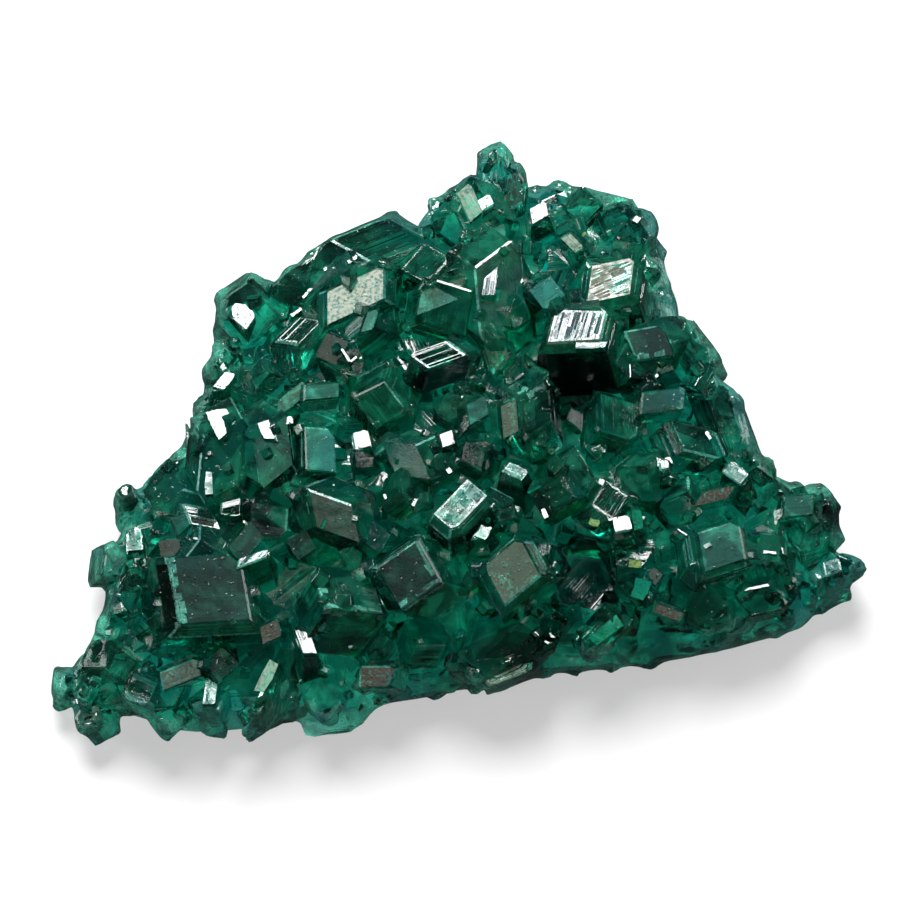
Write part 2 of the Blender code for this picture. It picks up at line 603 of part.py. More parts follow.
def add_rim_crystals(plate):
    """Crystals that look outwards round the rim."""
    rng = random.Random(RIM_SEED)
    outline = plate.outline
    middle = Vector(CRUST_MIDDLE)
    spare = 0.0
    index = 0
    for start, end in zip(outline, outline[1:] + outline[:1]):
        side = end - start
        along = spare
        while along < side.length:
            edge = start + side * (along / side.length)
            from_middle = edge - middle
            thin = RIM_THIN[0] < math.degrees(math.atan2(from_middle.y, from_middle.x)) < RIM_THIN[1]
            share = RIM_THIN_SHARE if thin else 1.0
            along += RIM_STEP * rng.uniform(*RIM_STEP_SPREAD) * math.sqrt(share)
            half_width = rng.uniform(*RIM_HALF_WIDTH) * share
            outward = Vector((-side.y, side.x)).normalized()
            bearing = math.degrees(math.atan2(outward.y, outward.x))
            height = rng.uniform(*RIM_HEIGHTS) * share + RIM_WAIST
            heading = bearing + rng.uniform(-RIM_SWING, RIM_SWING)
            lean = rng.uniform(*RIM_LEAN)
            lie = rng.choice((POINT, FACE))
            index += 1
            place = edge - outward * half_width * RIM_SET_BACK
            turned = lie_matrix(lie, heading, lean, bearing)
            top = Vector((place.x, place.y, height + half_width))
            plate.add_crystal(f"rim_{index}", top, half_width, RIM_LENGTH, turned, lie, rng)
        spare = along - side.length


def add_butts(plate):
    """Crystal butts under the crust, cut level where the plate broke from its rock."""
    rng = random.Random(BUTT_SEED)
    for index, place in enumerate(grid_places(plate.outline, BUTT_SPACING, BUTT_JITTER, BUTT_INSET, rng)):
        half_width = rng.uniform(*BUTT_HALF_WIDTH)
        lie = rng.choice((FACE, SIDE))
        turned = lie_matrix(lie, rng.uniform(0, 360), rng.uniform(0, BUTT_LEAN), rng.uniform(0, 360))
        top = Vector((place.x, place.y, half_width * BUTT_RISE))
        plate.add_crystal(f"butt_{index}", top, half_width, BUTT_LENGTH, turned, lie, rng)


def crust_mesh(plate):
    """The crust as a stack of rings of its outline, domed above and hollowed a little below."""
    middle = Vector(CRUST_MIDDLE)
    crust = bmesh.new()

    def ring(share, height_of):
        corners = []
        for point in plate.outline:
            offset = point - middle
            inward = offset.normalized() * CRUST_SET_BACK if share == 1.0 else Vector((0, 0))
            place = middle + (offset - inward) * share
            corners.append(crust.verts.new((place.x, place.y, height_of(place))))
        return corners

    rings = [ring(UNDERSIDE_SHARE, lambda place: UNDERSIDE_RISE)]
    rings.append(ring(1.0, lambda place: RIM_WAIST))
    for share in TOP_RINGS:
        rings.append(ring(share, lambda place: crust_top(plate.outline, place)))
    for lower, upper in zip(rings, rings[1:]):
        for near, far, far_up, near_up in zip(lower, lower[1:] + lower[:1], upper[1:] + upper[:1], upper):
            crust.faces.new((near, near_up, far_up, far))
    crust.faces.new(rings[0])
    crust.faces.new(list(reversed(rings[-1])))
    bmesh.ops.recalc_face_normals(crust, faces=crust.faces)
    mesh = bpy.data.meshes.new("crust")
    crust.to_mesh(mesh)
    crust.free()
    return mesh


def crystal_material():
    """Emerald-green dioptase, glassy on its faces."""
    material = bpy.data.materials.new("dioptase")
    material.use_nodes = True
    shader = material.node_tree.nodes["Principled BSDF"]
    shader.inputs["Base Color"].default_value = CRYSTAL_GREEN
    shader.inputs["Roughness"].default_value = CRYSTAL_ROUGHNESS
    shader.inputs["IOR"].default_value = CRYSTAL_IOR
    return material


def add_hollows(plate):
    """The six-sided cutters of the deep hollows, which open upwards."""
    for index, (x, up, half_width, depth, turn) in enumerate(HOLLOWS):
        middle = settled(plate, x, up, 0) - Vector((0, 0, depth))
        planes = [(Vector((0, 0, -1)), -middle.z)]
        for step in range(6):
            around = math.radians(turn) + SIDE_STEP * step
            outward = Vector((math.cos(around), math.sin(around), 0)) * math.cos(HOLLOW_FLARE)
            outward.z = -math.sin(HOLLOW_FLARE)
            planes.append((outward, outward.dot(middle) + half_width))
        name = f"hollow_{index}"
        plate.hollows.append((name, cut_block(name, SHAPE_BLOCK, planes, middle)))


def set_down(plate, crust):
    """Move everything so that the plate's middle is over the origin and its underside on the ground."""
    corners = [vertex.co for _, mesh in plate.shapes for vertex in mesh.vertices]
    corners += [vertex.co for vertex in crust.vertices]
    low = Vector([min(corner[axis] for corner in corners) for axis in range(3)])
    high = Vector([max(corner[axis] for corner in corners) for axis in range(3)])
    shift = Vector((-(low.x + high.x) / 2, -(low.y + high.y) / 2, -low.z))
    place = Matrix.Scale(MM, 4) @ Matrix.Translation(shift)
    for _, mesh in plate.shapes + plate.hollows:
        mesh.transform(place)
    crust.transform(place)
    print("shift", [round(part, 3) for part in shift], "size", [round(part, 2) for part in high - low])


def islands(body):
    """The connected sets of faces of a mesh."""
    left = set(body.faces)
    found = []
    while left:
        island = set()
        waiting = [left.pop()]
        while waiting:
            face = waiting.pop()
            island.add(face)
            for edge in face.edges:
                for other in edge.link_faces:
                    if other in left:
                        left.remove(other)
                        waiting.append(other)
        found.append(island)
    return found


def outer_shell(body):
    """Keep the outer surface of the joined crystals, without the gaps that they enclose."""
    graph = bpy.context.evaluated_depsgraph_get()
    joined = bpy.data.meshes.new_from_object(body.evaluated_get(graph))
    shell = bmesh.new()
    shell.from_mesh(joined)
    pieces = sorted(islands(shell), key=len, reverse=True)
    inner = [face for piece in pieces[1:] for face in piece]
    bmesh.ops.delete(shell, geom=inner, context="FACES")
    shell.to_mesh(joined)
    shell.free()
    body.modifiers.clear()
    body.data = joined
    return len(pieces) - 1


def hide_all(shapes, collection):
    """Make objects of the shapes that the Booleans take, out of sight."""
    for name, mesh in shapes:
        crystal = bpy.data.objects.new(name, mesh)
        crystal.hide_render = True
        crystal.display_type = "WIRE"
        collection.objects.link(crystal)


def combine(body, name, operation, collection):
    """Join the shapes of a collection to the body, or cut them from it."""
    change = body.modifiers.new(name, "BOOLEAN")
    change.operation = operation
    change.operand_type = "COLLECTION"
    change.collection = collection
    change.solver = "MANIFOLD"


def main():
    """Build the specimen as one solid."""
    clear_scene()
    specimen = new_collection("dioptase_specimen", shown=True)
    grown = new_collection("joined_crystals", shown=False)
    hollows = new_collection("hollows", shown=False)
    plate = Plate()
    add_main_crystals(plate)
    add_facets(plate)
    add_fill_crystals(plate)
    add_rim_crystals(plate)
    add_butts(plate)
    add_hollows(plate)
    crust = crust_mesh(plate)
    set_down(plate, crust)
    hide_all(plate.shapes, grown)
    hide_all(plate.hollows, hollows)
    body = bpy.data.objects.new("dioptase_crystals", crust)
    specimen.objects.link(body)
    body.data.materials.append(crystal_material())
    combine(body, "open_hollows", "DIFFERENCE", hollows)
    combine(body, "join_crystals", "UNION", grown)
    inner = outer_shell(body)
    print("inner islands removed", inner, "faces", len(body.data.polygons))


main()
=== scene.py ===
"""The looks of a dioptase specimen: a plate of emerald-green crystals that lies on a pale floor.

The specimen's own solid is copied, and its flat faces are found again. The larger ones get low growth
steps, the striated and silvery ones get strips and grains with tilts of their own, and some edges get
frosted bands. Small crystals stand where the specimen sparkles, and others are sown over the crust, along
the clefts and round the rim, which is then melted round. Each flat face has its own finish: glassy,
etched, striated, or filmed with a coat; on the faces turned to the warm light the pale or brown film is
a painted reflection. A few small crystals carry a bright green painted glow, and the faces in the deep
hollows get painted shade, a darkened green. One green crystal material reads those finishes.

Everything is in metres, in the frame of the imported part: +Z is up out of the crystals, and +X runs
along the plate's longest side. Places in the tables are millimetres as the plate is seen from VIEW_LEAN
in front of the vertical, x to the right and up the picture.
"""

import enum
import logging
import math
import random
from dataclasses import dataclass, field

import bmesh
import bpy
import numpy as np
from bmesh.types import BMEdge, BMesh, BMFace
from bpy.types import Collection, Material, Mesh, Node, NodeOutputs, NodeSocket, NodeTree
from mathutils import Matrix, Vector
from mathutils.bvhtree import BVHTree


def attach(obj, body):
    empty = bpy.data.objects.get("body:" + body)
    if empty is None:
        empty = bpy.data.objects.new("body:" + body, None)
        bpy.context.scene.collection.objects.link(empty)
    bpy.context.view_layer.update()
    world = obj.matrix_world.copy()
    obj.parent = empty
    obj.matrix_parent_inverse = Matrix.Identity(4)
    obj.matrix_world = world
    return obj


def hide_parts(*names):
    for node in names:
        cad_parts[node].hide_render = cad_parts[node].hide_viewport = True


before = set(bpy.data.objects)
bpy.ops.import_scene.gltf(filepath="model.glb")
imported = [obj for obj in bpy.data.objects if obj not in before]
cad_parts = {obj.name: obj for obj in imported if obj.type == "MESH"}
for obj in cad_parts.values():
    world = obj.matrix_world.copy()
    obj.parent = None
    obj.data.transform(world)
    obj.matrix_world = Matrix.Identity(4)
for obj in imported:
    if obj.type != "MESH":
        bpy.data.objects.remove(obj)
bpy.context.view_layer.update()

log = logging.getLogger("dioptase")

NODE = "dioptase_crystals"
BODY = "root"
MM = 0.001

# How far the view leans from the vertical towards -Y, the direction to the eye, the direction that is
# upward in the picture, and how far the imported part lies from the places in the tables
VIEW_LEAN = math.radians(12)
TO_EYE = Vector((0, -math.sin(VIEW_LEAN), math.cos(VIEW_LEAN)))
UPWARD = Vector((0, math.cos(VIEW_LEAN), math.sin(VIEW_LEAN)))
PART_SHIFT = Vector((-0.147, 0.974, 0.0))

# The angle between a dioptase crystal's axis and the normals of its point faces, in degrees
POINT_DIP = 50.9

# The ways a flat face can be turned, as a lean from the vertical and a bearing, in degrees. The first
# three mirror one light each, and the last mirrors none
BRIGHT, WARM, GREY = (12.0, 108.0), (14.0, 250.0), (12.0, 330.0)
TOWARDS = (26.0, 285.0)

# A face with more ridge than this is striated, with more grain than this silvery, with more dark than
# this dull, and with more of a mark than this it has the mark
RIDGED, GRAINY, DULLED, MARKED = 0.6, 0.85, 0.3, 0.5


def direction(lean: float, bearing: float) -> Vector:
    """Give the unit vector that leans from the vertical towards a bearing.

    Args:
        lean: The angle from the vertical, in degrees.
        bearing: The way it leans, counted from +X towards +Y, in degrees.

    Returns:
        The unit vector.
    """
    flat = math.sin(math.radians(lean))
    around = math.radians(bearing)
    return Vector((flat * math.cos(around), flat * math.sin(around), math.cos(math.radians(lean))))


def seen_place(point: Vector) -> tuple[float, float]:
    """Give how far right and how far up a point of the part is seen, in millimetres."""
    place = point / MM - PART_SHIFT
    return place.x, place.y * math.cos(VIEW_LEAN) + place.z * math.sin(VIEW_LEAN)


@dataclass(frozen=True)
class Finish:
    """How one flat face looks.

    Attributes:
        grain: How strongly it is etched, from 0 to 1.
        ridge: How strongly it is striated, from 0 to 1.
        film: The colour of the film on it: a coat on some finishes, and on others painted reflection,
            painted glow or painted shade.
        cover: How much of it the film covers: half or so at 1, and nearly all at 2.
        haze: What is added to its roughness.
        bright_end: The share of it, at its right end, that is bare and bright.
        dark: How much its green is darkened, from 0 to 1.
    """

    grain: float = 0.0
    ridge: float = 0.0
    film: tuple[float, float, float] = (0.5, 0.5, 0.45)
    cover: float = 0.0
    haze: float = 0.0
    bright_end: float = 0.0
    dark: float = 0.0


class Look(enum.Enum):
    """The finishes that the specimen's faces have, some with painted reflection, glow or shade."""

    GLASSY = Finish(grain=0.08, ridge=0.05)
    VEILED = Finish(grain=0.25, ridge=0.1, haze=0.05)
    ETCHED = Finish(grain=0.8, ridge=0.0, haze=0.16)
    STRIATED = Finish(grain=0.15, ridge=0.9, haze=0.04)
    MIRROR = Finish(grain=0.12, ridge=0.05)
    DULL = Finish(grain=0.3, ridge=0.7, haze=0.06, dark=0.4)
    SILVER = Finish(grain=0.9, ridge=0.3, film=(0.08, 0.12, 0.11), cover=0.3, haze=0.4)
    STREAKED = Finish(grain=0.3, ridge=1.0, film=(0.03, 0.04, 0.055), cover=1.5, haze=0.3, bright_end=0.16)
    # Painted reflection: beige films on the faces turned to the warm card, for the warm light they mirror
    BEIGE = Finish(grain=0.6, ridge=0.3, film=(0.4, 0.44, 0.37), cover=1.3, haze=0.2)
    BEIGE_RIDGED = Finish(grain=0.4, ridge=1.0, film=(0.26, 0.33, 0.25), cover=1.1, haze=0.3)
    DULL_RIDGED = Finish(grain=0.3, ridge=1.0, film=(0.1, 0.1, 0.07), cover=1.6, haze=0.5, bright_end=0.3)
    PANE = Finish(grain=0.25, ridge=0.1, film=(0.007, 0.07, 0.048), cover=0.7, haze=0.1, dark=0.15)
    SLATE = Finish(grain=0.3, ridge=0.1, film=(0.004, 0.05, 0.042), cover=0.8, haze=0.12, dark=0.35)
    DARK = Finish(grain=0.35, ridge=0.1, film=(0.002, 0.02, 0.016), cover=0.6, haze=0.16, dark=0.85)
    # Painted shade: a near-black film and a darkened green on faces that lie in shade
    DEEP = Finish(grain=0.3, ridge=0.1, film=(0.001, 0.018, 0.013), cover=3.0, haze=0.1, dark=0.9)
    # Painted reflection: olive, tan and brown films on faces turned to the warm card, the tan and brown ones
    # darkened too
    OLIVE = Finish(grain=0.55, ridge=0.2, film=(0.05, 0.075, 0.035), cover=0.6, haze=0.14)
    TAN = Finish(grain=0.3, ridge=0.1, film=(0.028, 0.052, 0.034), cover=1.4, haze=0.12, dark=0.2)
    BROWN = Finish(grain=0.4, ridge=0.1, film=(0.02, 0.017, 0.012), cover=1.6, haze=0.12, dark=0.5)
    FROSTED = Finish(grain=1.0, ridge=0.0, film=(0.2, 0.34, 0.3), cover=0.5, haze=0.25)
    # Painted glow: bright green films on small crystals, for the light that shines through them
    GEM = Finish(grain=0.4, ridge=0.0, film=(0.004, 0.2, 0.09), cover=1.1, haze=0.05)
    LENS = Finish(grain=0.4, ridge=0.0, film=(0.0, 0.34, 0.27), cover=1.2, haze=0.05)
    LIME = Finish(grain=1.0, ridge=0.0, film=(0.3, 0.42, 0.12), cover=1.3, haze=0.1)
    LUMPY = Finish(grain=0.35, ridge=0.0, haze=0.1)
    BROKEN = Finish(grain=1.0, ridge=0.0, film=(0.02, 0.06, 0.04), cover=0.4, haze=0.3)


@dataclass(frozen=True)
class Place:
    """Something that is known by where it is seen.

    Attributes:
        name: What it is called.
        x: How far right its middle is seen, in millimetres.
        up: How far up its middle is seen, in millimetres.
    """

    name: str
    x: float
    up: float


@dataclass(frozen=True)
class NamedFace(Place):
    """A flat face that is told apart by its place and its turn.

    Attributes:
        way: Its lean and bearing, in degrees.
        look: Its finish.
        line: The bearing of its striations as they are seen, in degrees, or None where its longest
            edge gives it.
    """

    way: tuple[float, float]
    look: Look
    line: float | None = None


NAMED_FACES = tuple(
    NamedFace(*row)
    for row in (
        ("shoulder_face", -6.8, 9.7, WARM, Look.BEIGE),
        ("shoulder_chip", -5.9, 7.9, WARM, Look.OLIVE),
        ("mirror", -14.4, 8.5, BRIGHT, Look.MIRROR),
        ("left_glance", -15.6, 4.0, BRIGHT, Look.MIRROR),
        ("window", -15.4, 1.0, BRIGHT, Look.MIRROR),
        ("slot", -12.5, 0.6, BRIGHT, Look.SILVER),
        ("spark", -6.4, 0.1, BRIGHT, Look.MIRROR),
        ("pane", -9.1, -0.6, GREY, Look.PANE),
        ("pale_ledge", -9.0, 3.3, GREY, Look.PANE),
        ("shard", -11.1, 2.8, WARM, Look.OLIVE),
        ("olive_face", -1.1, 9.7, WARM, Look.OLIVE),
        ("cap_face", 0.8, 15.9, WARM, Look.BEIGE_RIDGED, 118.0),
        ("cap_chip", 1.9, 15.9, BRIGHT, Look.MIRROR),
        ("crown_glance", 5.4, 15.2, BRIGHT, Look.MIRROR),
        ("crown_chip", 7.6, 13.2, WARM, Look.BEIGE_RIDGED),
        ("dome_face", 10.2, 10.7, BRIGHT, Look.DULL_RIDGED, 24.0),
        ("cube_face", 8.0, 7.7, BRIGHT, Look.STREAKED, 76.0),
        ("slate", 6.0, 9.8, GREY, Look.PANE),
        ("head_face", 2.2, 13.2, GREY, Look.PANE),
        ("streak", 2.2, 11.0, BRIGHT, Look.STREAKED, 84.0),
        ("rhomb_face", 12.8, 6.5, GREY, Look.DARK),
        ("ledge_face", 13.7, 2.7, GREY, Look.SLATE),
        ("slate_hexagon", 1.3, 2.0, GREY, Look.PANE),
        ("two_tone_face", 3.4, 1.5, WARM, Look.TAN),
        ("silver_face", 0.2, -4.3, BRIGHT, Look.SILVER),
        ("silver_chip", 3.8, -2.0, BRIGHT, Look.SILVER),
        ("amber_spark", 1.6, -6.1, BRIGHT, Look.VEILED),
        ("amber_face", 3.6, -8.6, WARM, Look.TAN),
        ("square_spark", 10.9, -5.5, BRIGHT, Look.MIRROR),
        ("gold_chip", 14.0, -11.4, WARM, Look.BROWN),
        ("low_line", 3.4, -15.4, WARM, Look.BEIGE_RIDGED),
        ("block_face", -16.4, -9.8, GREY, Look.DARK),
        ("striped_face", -14.0, -6.7, GREY, Look.DARK),
        ("striped_bar", -13.6, -7.8, BRIGHT, Look.STREAKED, 50.0),
        ("blue_spark", -10.1, -13.3, BRIGHT, Look.STRIATED),
        ("brown_chip", -12.4, -12.7, WARM, Look.BROWN),
        ("striped_sliver", -12.6, -15.9, BRIGHT, Look.BEIGE_RIDGED),
        ("tan_face", -18.4, -15.5, WARM, Look.TAN),
        ("low_brown", -5.3, -15.7, WARM, Look.BROWN),
        ("west_glance", -21.5, -6.5, BRIGHT, Look.SILVER),
        ("west_chip", -22.2, -3.3, BRIGHT, Look.MIRROR),
        ("west_face", -22.6, -7.9, GREY, Look.SLATE),
        ("tip_spark", -16.4, -16.6, BRIGHT, Look.SILVER),
        ("flank_spark", 18.5, -2.1, BRIGHT, Look.SILVER),
        ("flank_chip", 13.7, -1.6, BRIGHT, Look.SILVER),
        ("brown_face", 17.0, -3.7, WARM, Look.BROWN),
        ("hexagon_face", 17.5, -7.0, GREY, Look.SLATE),
        ("east_face", 22.7, -4.3, GREY, Look.SLATE),
        ("east_glance", 24.9, -8.4, BRIGHT, Look.SILVER),
        ("low_triangle", 18.7, -12.1, GREY, Look.DARK),
        ("top_left_face", -5.3, 13.6, (22.0, 70.0), Look.DULL),
        ("upper_face", -2.2, 12.0, (18.0, 80.0), Look.DULL),
        ("left_upper_face", -10.3, 7.8, (18.0, 140.0), Look.DULL),
        ("middle_left_face", -8.5, -4.8, (16.0, 250.0), Look.DARK),
        ("long_face", -3.0, -8.6, (13.0, 318.0), Look.DARK),
        ("small_face", -4.8, -6.3, (11.0, 17.0), Look.DARK),
        # Painted shade on the two faces below the middle crystals and the cube
        ("middle_front", -1.5, 3.4, (46.0, 290.0), Look.DEEP),
        ("cube_front", 8.0, 4.3, (72.0, 271.0), Look.DEEP),
    )
)


@dataclass(frozen=True)
class Chip(Place):
    """A small flat-topped crystal that grows at one place.

    Attributes:
        width: Its width, in millimetres.
        length: Its length, in millimetres.
        line: The bearing of its length as it is seen, in degrees.
        way: The lean and bearing of its top, in degrees.
        look: Its top's finish.
    """

    width: float
    length: float
    line: float
    way: tuple[float, float] = BRIGHT
    look: Look = Look.MIRROR


CHIPS = tuple(
    Chip(*row)
    for row in (
        ("window_chip", -15.9, 0.9, 0.85, 2.4, 110.0),
        ("slot_chip", -12.7, 0.6, 0.75, 1.5, 106.0),
        ("shoulder_glint", -7.0, 11.9, 0.26, 0.9, 38.0),
        ("shoulder_streak", -10.0, 9.8, 0.22, 0.9, 55.0),
        ("low_streak", -10.7, 8.2, 0.24, 0.9, 40.0),
        ("slope_streak", -7.4, 5.4, 0.18, 1.1, 120.0),
        ("slope_fleck", -6.9, 5.2, 0.15, 0.6, 45.0),
        ("left_line", -18.0, 0.1, 0.26, 2.4, 96.0, BRIGHT, Look.SILVER),
        ("left_silver", -16.5, -3.0, 0.5, 1.7, 92.0, BRIGHT, Look.SILVER),
        ("middle_fleck", 5.8, -4.9, 0.35, 0.7, 112.0),
        ("amber_chip", 1.7, -6.1, 0.75, 0.95, 60.0, BRIGHT, Look.SILVER),
        ("right_fleck", 14.0, -1.4, 0.5, 0.55, 20.0),
        ("right_dash", 20.8, -7.5, 0.2, 0.9, -6.0),
        ("upper_fleck", 16.7, 0.3, 0.25, 0.6, 118.0),
        ("small_fleck", -2.8, -4.3, 0.22, 0.55, 70.0),
        ("dark_fleck", -4.8, -3.8, 0.18, 0.45, 110.0),
        ("hollow_dash", 6.3, -13.2, 0.13, 0.9, 110.0, BRIGHT, Look.SILVER),
        ("low_sliver", -12.6, -15.6, 0.75, 2.5, 61.0, WARM, Look.BEIGE_RIDGED),
        ("low_light_line", 3.4, -15.3, 0.22, 2.3, 24.0, WARM, Look.BEIGE),
        ("side_fleck", 10.2, -5.3, 0.3, 0.4, 20.0),
        ("hexagon_fleck", 16.6, -7.0, 0.3, 0.5, 30.0, BRIGHT, Look.SILVER),
        ("strip_under_cube", 8.9, 6.0, 0.45, 2.4, 2.0, BRIGHT, Look.SILVER),
        ("cube_side_chip", 5.3, 7.6, 0.25, 0.8, 80.0),
        # Painted glow: these chips carry bright green films, for the light that shines through small
        # crystals
        ("hex_gem", 11.8, -5.0, 0.7, 1.4, 100.0, TOWARDS, Look.GEM),
        ("bead", 12.0, -9.7, 1.1, 1.4, 70.0, TOWARDS, Look.GEM),
        ("slug", 9.8, -12.6, 1.0, 2.6, 38.0, TOWARDS, Look.GEM),
        ("teal_lens", -2.3, -15.6, 0.4, 2.2, 4.0, TOWARDS, Look.LENS),
        ("green_dash", -8.9, -5.5, 0.22, 0.8, 60.0, TOWARDS, Look.GEM),
        ("lime_grain", 9.0, -5.3, 0.5, 0.8, -20.0, TOWARDS, Look.LIME),
        ("lime_bead", 11.8, -8.1, 0.5, 0.9, -10.0, TOWARDS, Look.LIME),
        ("teal_spot", 5.8, 11.7, 0.3, 0.8, 70.0, TOWARDS, Look.LENS),
        ("glow_spot", 2.6, 9.7, 0.4, 0.9, 80.0, TOWARDS, Look.GEM),
        ("teal_tip", 2.9, 19.5, 0.3, 0.5, 20.0, TOWARDS, Look.LENS),
        ("east_teal", 25.0, -9.5, 0.25, 0.5, -20.0, TOWARDS, Look.LENS),
        ("crown_spark_one", 7.2, 14.6, 0.2, 0.3, 10.0, TOWARDS, Look.LIME),
        ("crown_spark_two", 8.4, 13.9, 0.2, 0.3, 50.0, TOWARDS, Look.LIME),
        ("crown_spark_three", 6.5, 15.3, 0.2, 0.25, 80.0, TOWARDS, Look.LIME),
    )
)

# Edges that carry a frosted band on both sides, each by the place in the middle of it, in millimetres
FROSTED_EDGES = {
    "corner_left": (-9.6, -9.7),
    "corner_right": (-7.1, -11.3),
    "long_upper": (-2.5, -7.4),
    "long_lower": (-3.3, -9.6),
    "block_left": (-18.9, -10.0),
    "rhomb_right": (14.6, 5.6),
    "rhomb_low": (12.3, 5.1),
    "hexagon_low": (17.9, -8.6),
    "left_edge": (-17.8, 0.2),
    "ledge_right": (15.2, 2.8),
    "two_tone_arc": (4.8, 4.0),
    "slope_arc": (-5.2, 5.4),
}


@dataclass(frozen=True)
class Shadow(Place):
    """A part of the specimen that gets painted shade: a darkened green where shade falls.

    Attributes:
        reach: Its radius, in millimetres.
        depth: How dark its middle is, from 0 to 1.
    """

    reach: float
    depth: float


# Painted shade: the faces round each place are darkened where shade falls among the crystals
SHADOWS = tuple(
    Shadow(*row)
    for row in (
        ("deep_hollow", 9.0, -9.6, 3.4, 0.95),
        ("under_hollow", 4.2, -13.9, 2.8, 0.85),
        ("under_cube", 7.3, 2.6, 2.9, 0.75),
        ("left_band", -14.0, -4.6, 2.8, 0.55),
        ("block_shade", -19.5, -10.4, 1.5, 0.75),
        ("right_slope", 12.8, 4.1, 2.8, 0.55),
        ("low_right", 16.0, -10.6, 3.2, 0.55),
        ("low_right_end", 21.0, -9.8, 2.6, 0.5),
        ("middle", 0.8, -0.6, 3.2, 0.4),
        ("brown_low", -13.6, -13.6, 2.4, 0.5),
        ("east_block", 24.6, -5.0, 1.8, 0.55),
        ("low_middle", -2.0, -13.0, 3.0, 0.4),
        ("right_flank", 16.8, 1.8, 1.9, 0.5),
        ("cube_foot", 8.4, 3.8, 2.2, 0.95),
        ("low_belt_left", -6.0, -13.4, 3.0, 0.4),
        ("low_belt", 1.0, -13.4, 3.0, 0.5),
        ("low_belt_right", 12.8, -13.2, 2.8, 0.5),
        ("beside_slug", 6.8, -12.6, 2.2, 0.85),
        ("centre_left", -4.5, -3.6, 2.8, 0.35),
        ("centre_right", 5.2, -3.6, 2.4, 0.5),
        ("middle_foot", -1.9, 4.1, 2.3, 0.9),
    )
)


@dataclass
class FlatFace:
    """One flat face of the specimen, put together from the mesh faces that lie in its plane.

    Attributes:
        faces: The numbers of its mesh faces.
        normal: Its outward normal.
        middle: The middle of its area, in metres.
        area: Its area, in square metres.
        grain_line: The direction of its longest edge.
    """

    faces: list[int]
    normal: Vector
    middle: Vector
    area: float
    grain_line: Vector


def flat_faces(body: BMesh, slack: float) -> list[FlatFace]:
    """Gather the mesh faces into flat faces.

    Args:
        body: The mesh.
        slack: The largest angle between neighbours in one flat face, in radians.

    Returns:
        The flat faces, in the order of their first mesh face.
    """
    body.faces.ensure_lookup_table()
    group_of: dict[int, int] = {}
    groups: list[list[int]] = []
    least = math.cos(slack)
    for face in body.faces:
        if face.index in group_of:
            continue
        members = [face.index]
        group_of[face.index] = len(groups)
        waiting = [face]
        while waiting:
            near = waiting.pop()
            for edge in near.edges:
                for other in edge.link_faces:
                    if other.index in group_of or other.normal.dot(face.normal) < least:
                        continue
                    group_of[other.index] = len(groups)
                    members.append(other.index)
                    waiting.append(other)
        groups.append(members)
    found = []
    for members in groups:
        faces = [body.faces[index] for index in members]
        areas = [max(face.calc_area(), 1e-16) for face in faces]
        area = sum(areas)
        middle = sum((face.calc_center_median() * size for face, size in zip(faces, areas)), Vector()) / area
        normal = sum((face.normal * size for face, size in zip(faces, areas)), Vector()).normalized()
        longest = max((edge for face in faces for edge in face.edges), key=lambda edge: edge.calc_length())
        line = (longest.verts[1].co - longest.verts[0].co).normalized()
        found.append(FlatFace(members, normal, middle, area, line))
    return found


class FaceLayers:
    """The values that a mesh's faces carry for the crystal material to read."""

    finish_numbers = ("grain", "ridge", "cover", "haze", "bright_end", "dark")
    numbers = (*finish_numbers, "tone", "soft", "kept")

    def __init__(self, body: BMesh) -> None:
        """Find or add the layers of a mesh.

        Args:
            body: The mesh.
        """
        layers = body.faces.layers
        self.of = {name: layers.float.get(name) or layers.float.new(name) for name in self.numbers}
        self.way = layers.float_vector.get("ridge_way") or layers.float_vector.new("ridge_way")
        self.film = layers.float_color.get("film") or layers.float_color.new("film")

    def dress(self, face: BMFace, look: Look, tone: float, way: Vector) -> None:
        """Give a face its finish.

        Args:
            face: The face.
            look: The finish.
            tone: How pale its green is, from 0 to 1.
            way: The direction across its striations.
        """
        finish = look.value
        for name in self.finish_numbers:
            face[self.of[name]] = getattr(finish, name)
        face[self.of["tone"]] = tone
        face[self.way] = way
        face[self.film] = (*finish.film, 1.0)

    def share_look(self, face: BMFace, look: Look) -> None:
        """Give a face a finish, with the tone and the striations that it has already."""
        self.dress(face, look, face[self.of["tone"]], face[self.way])


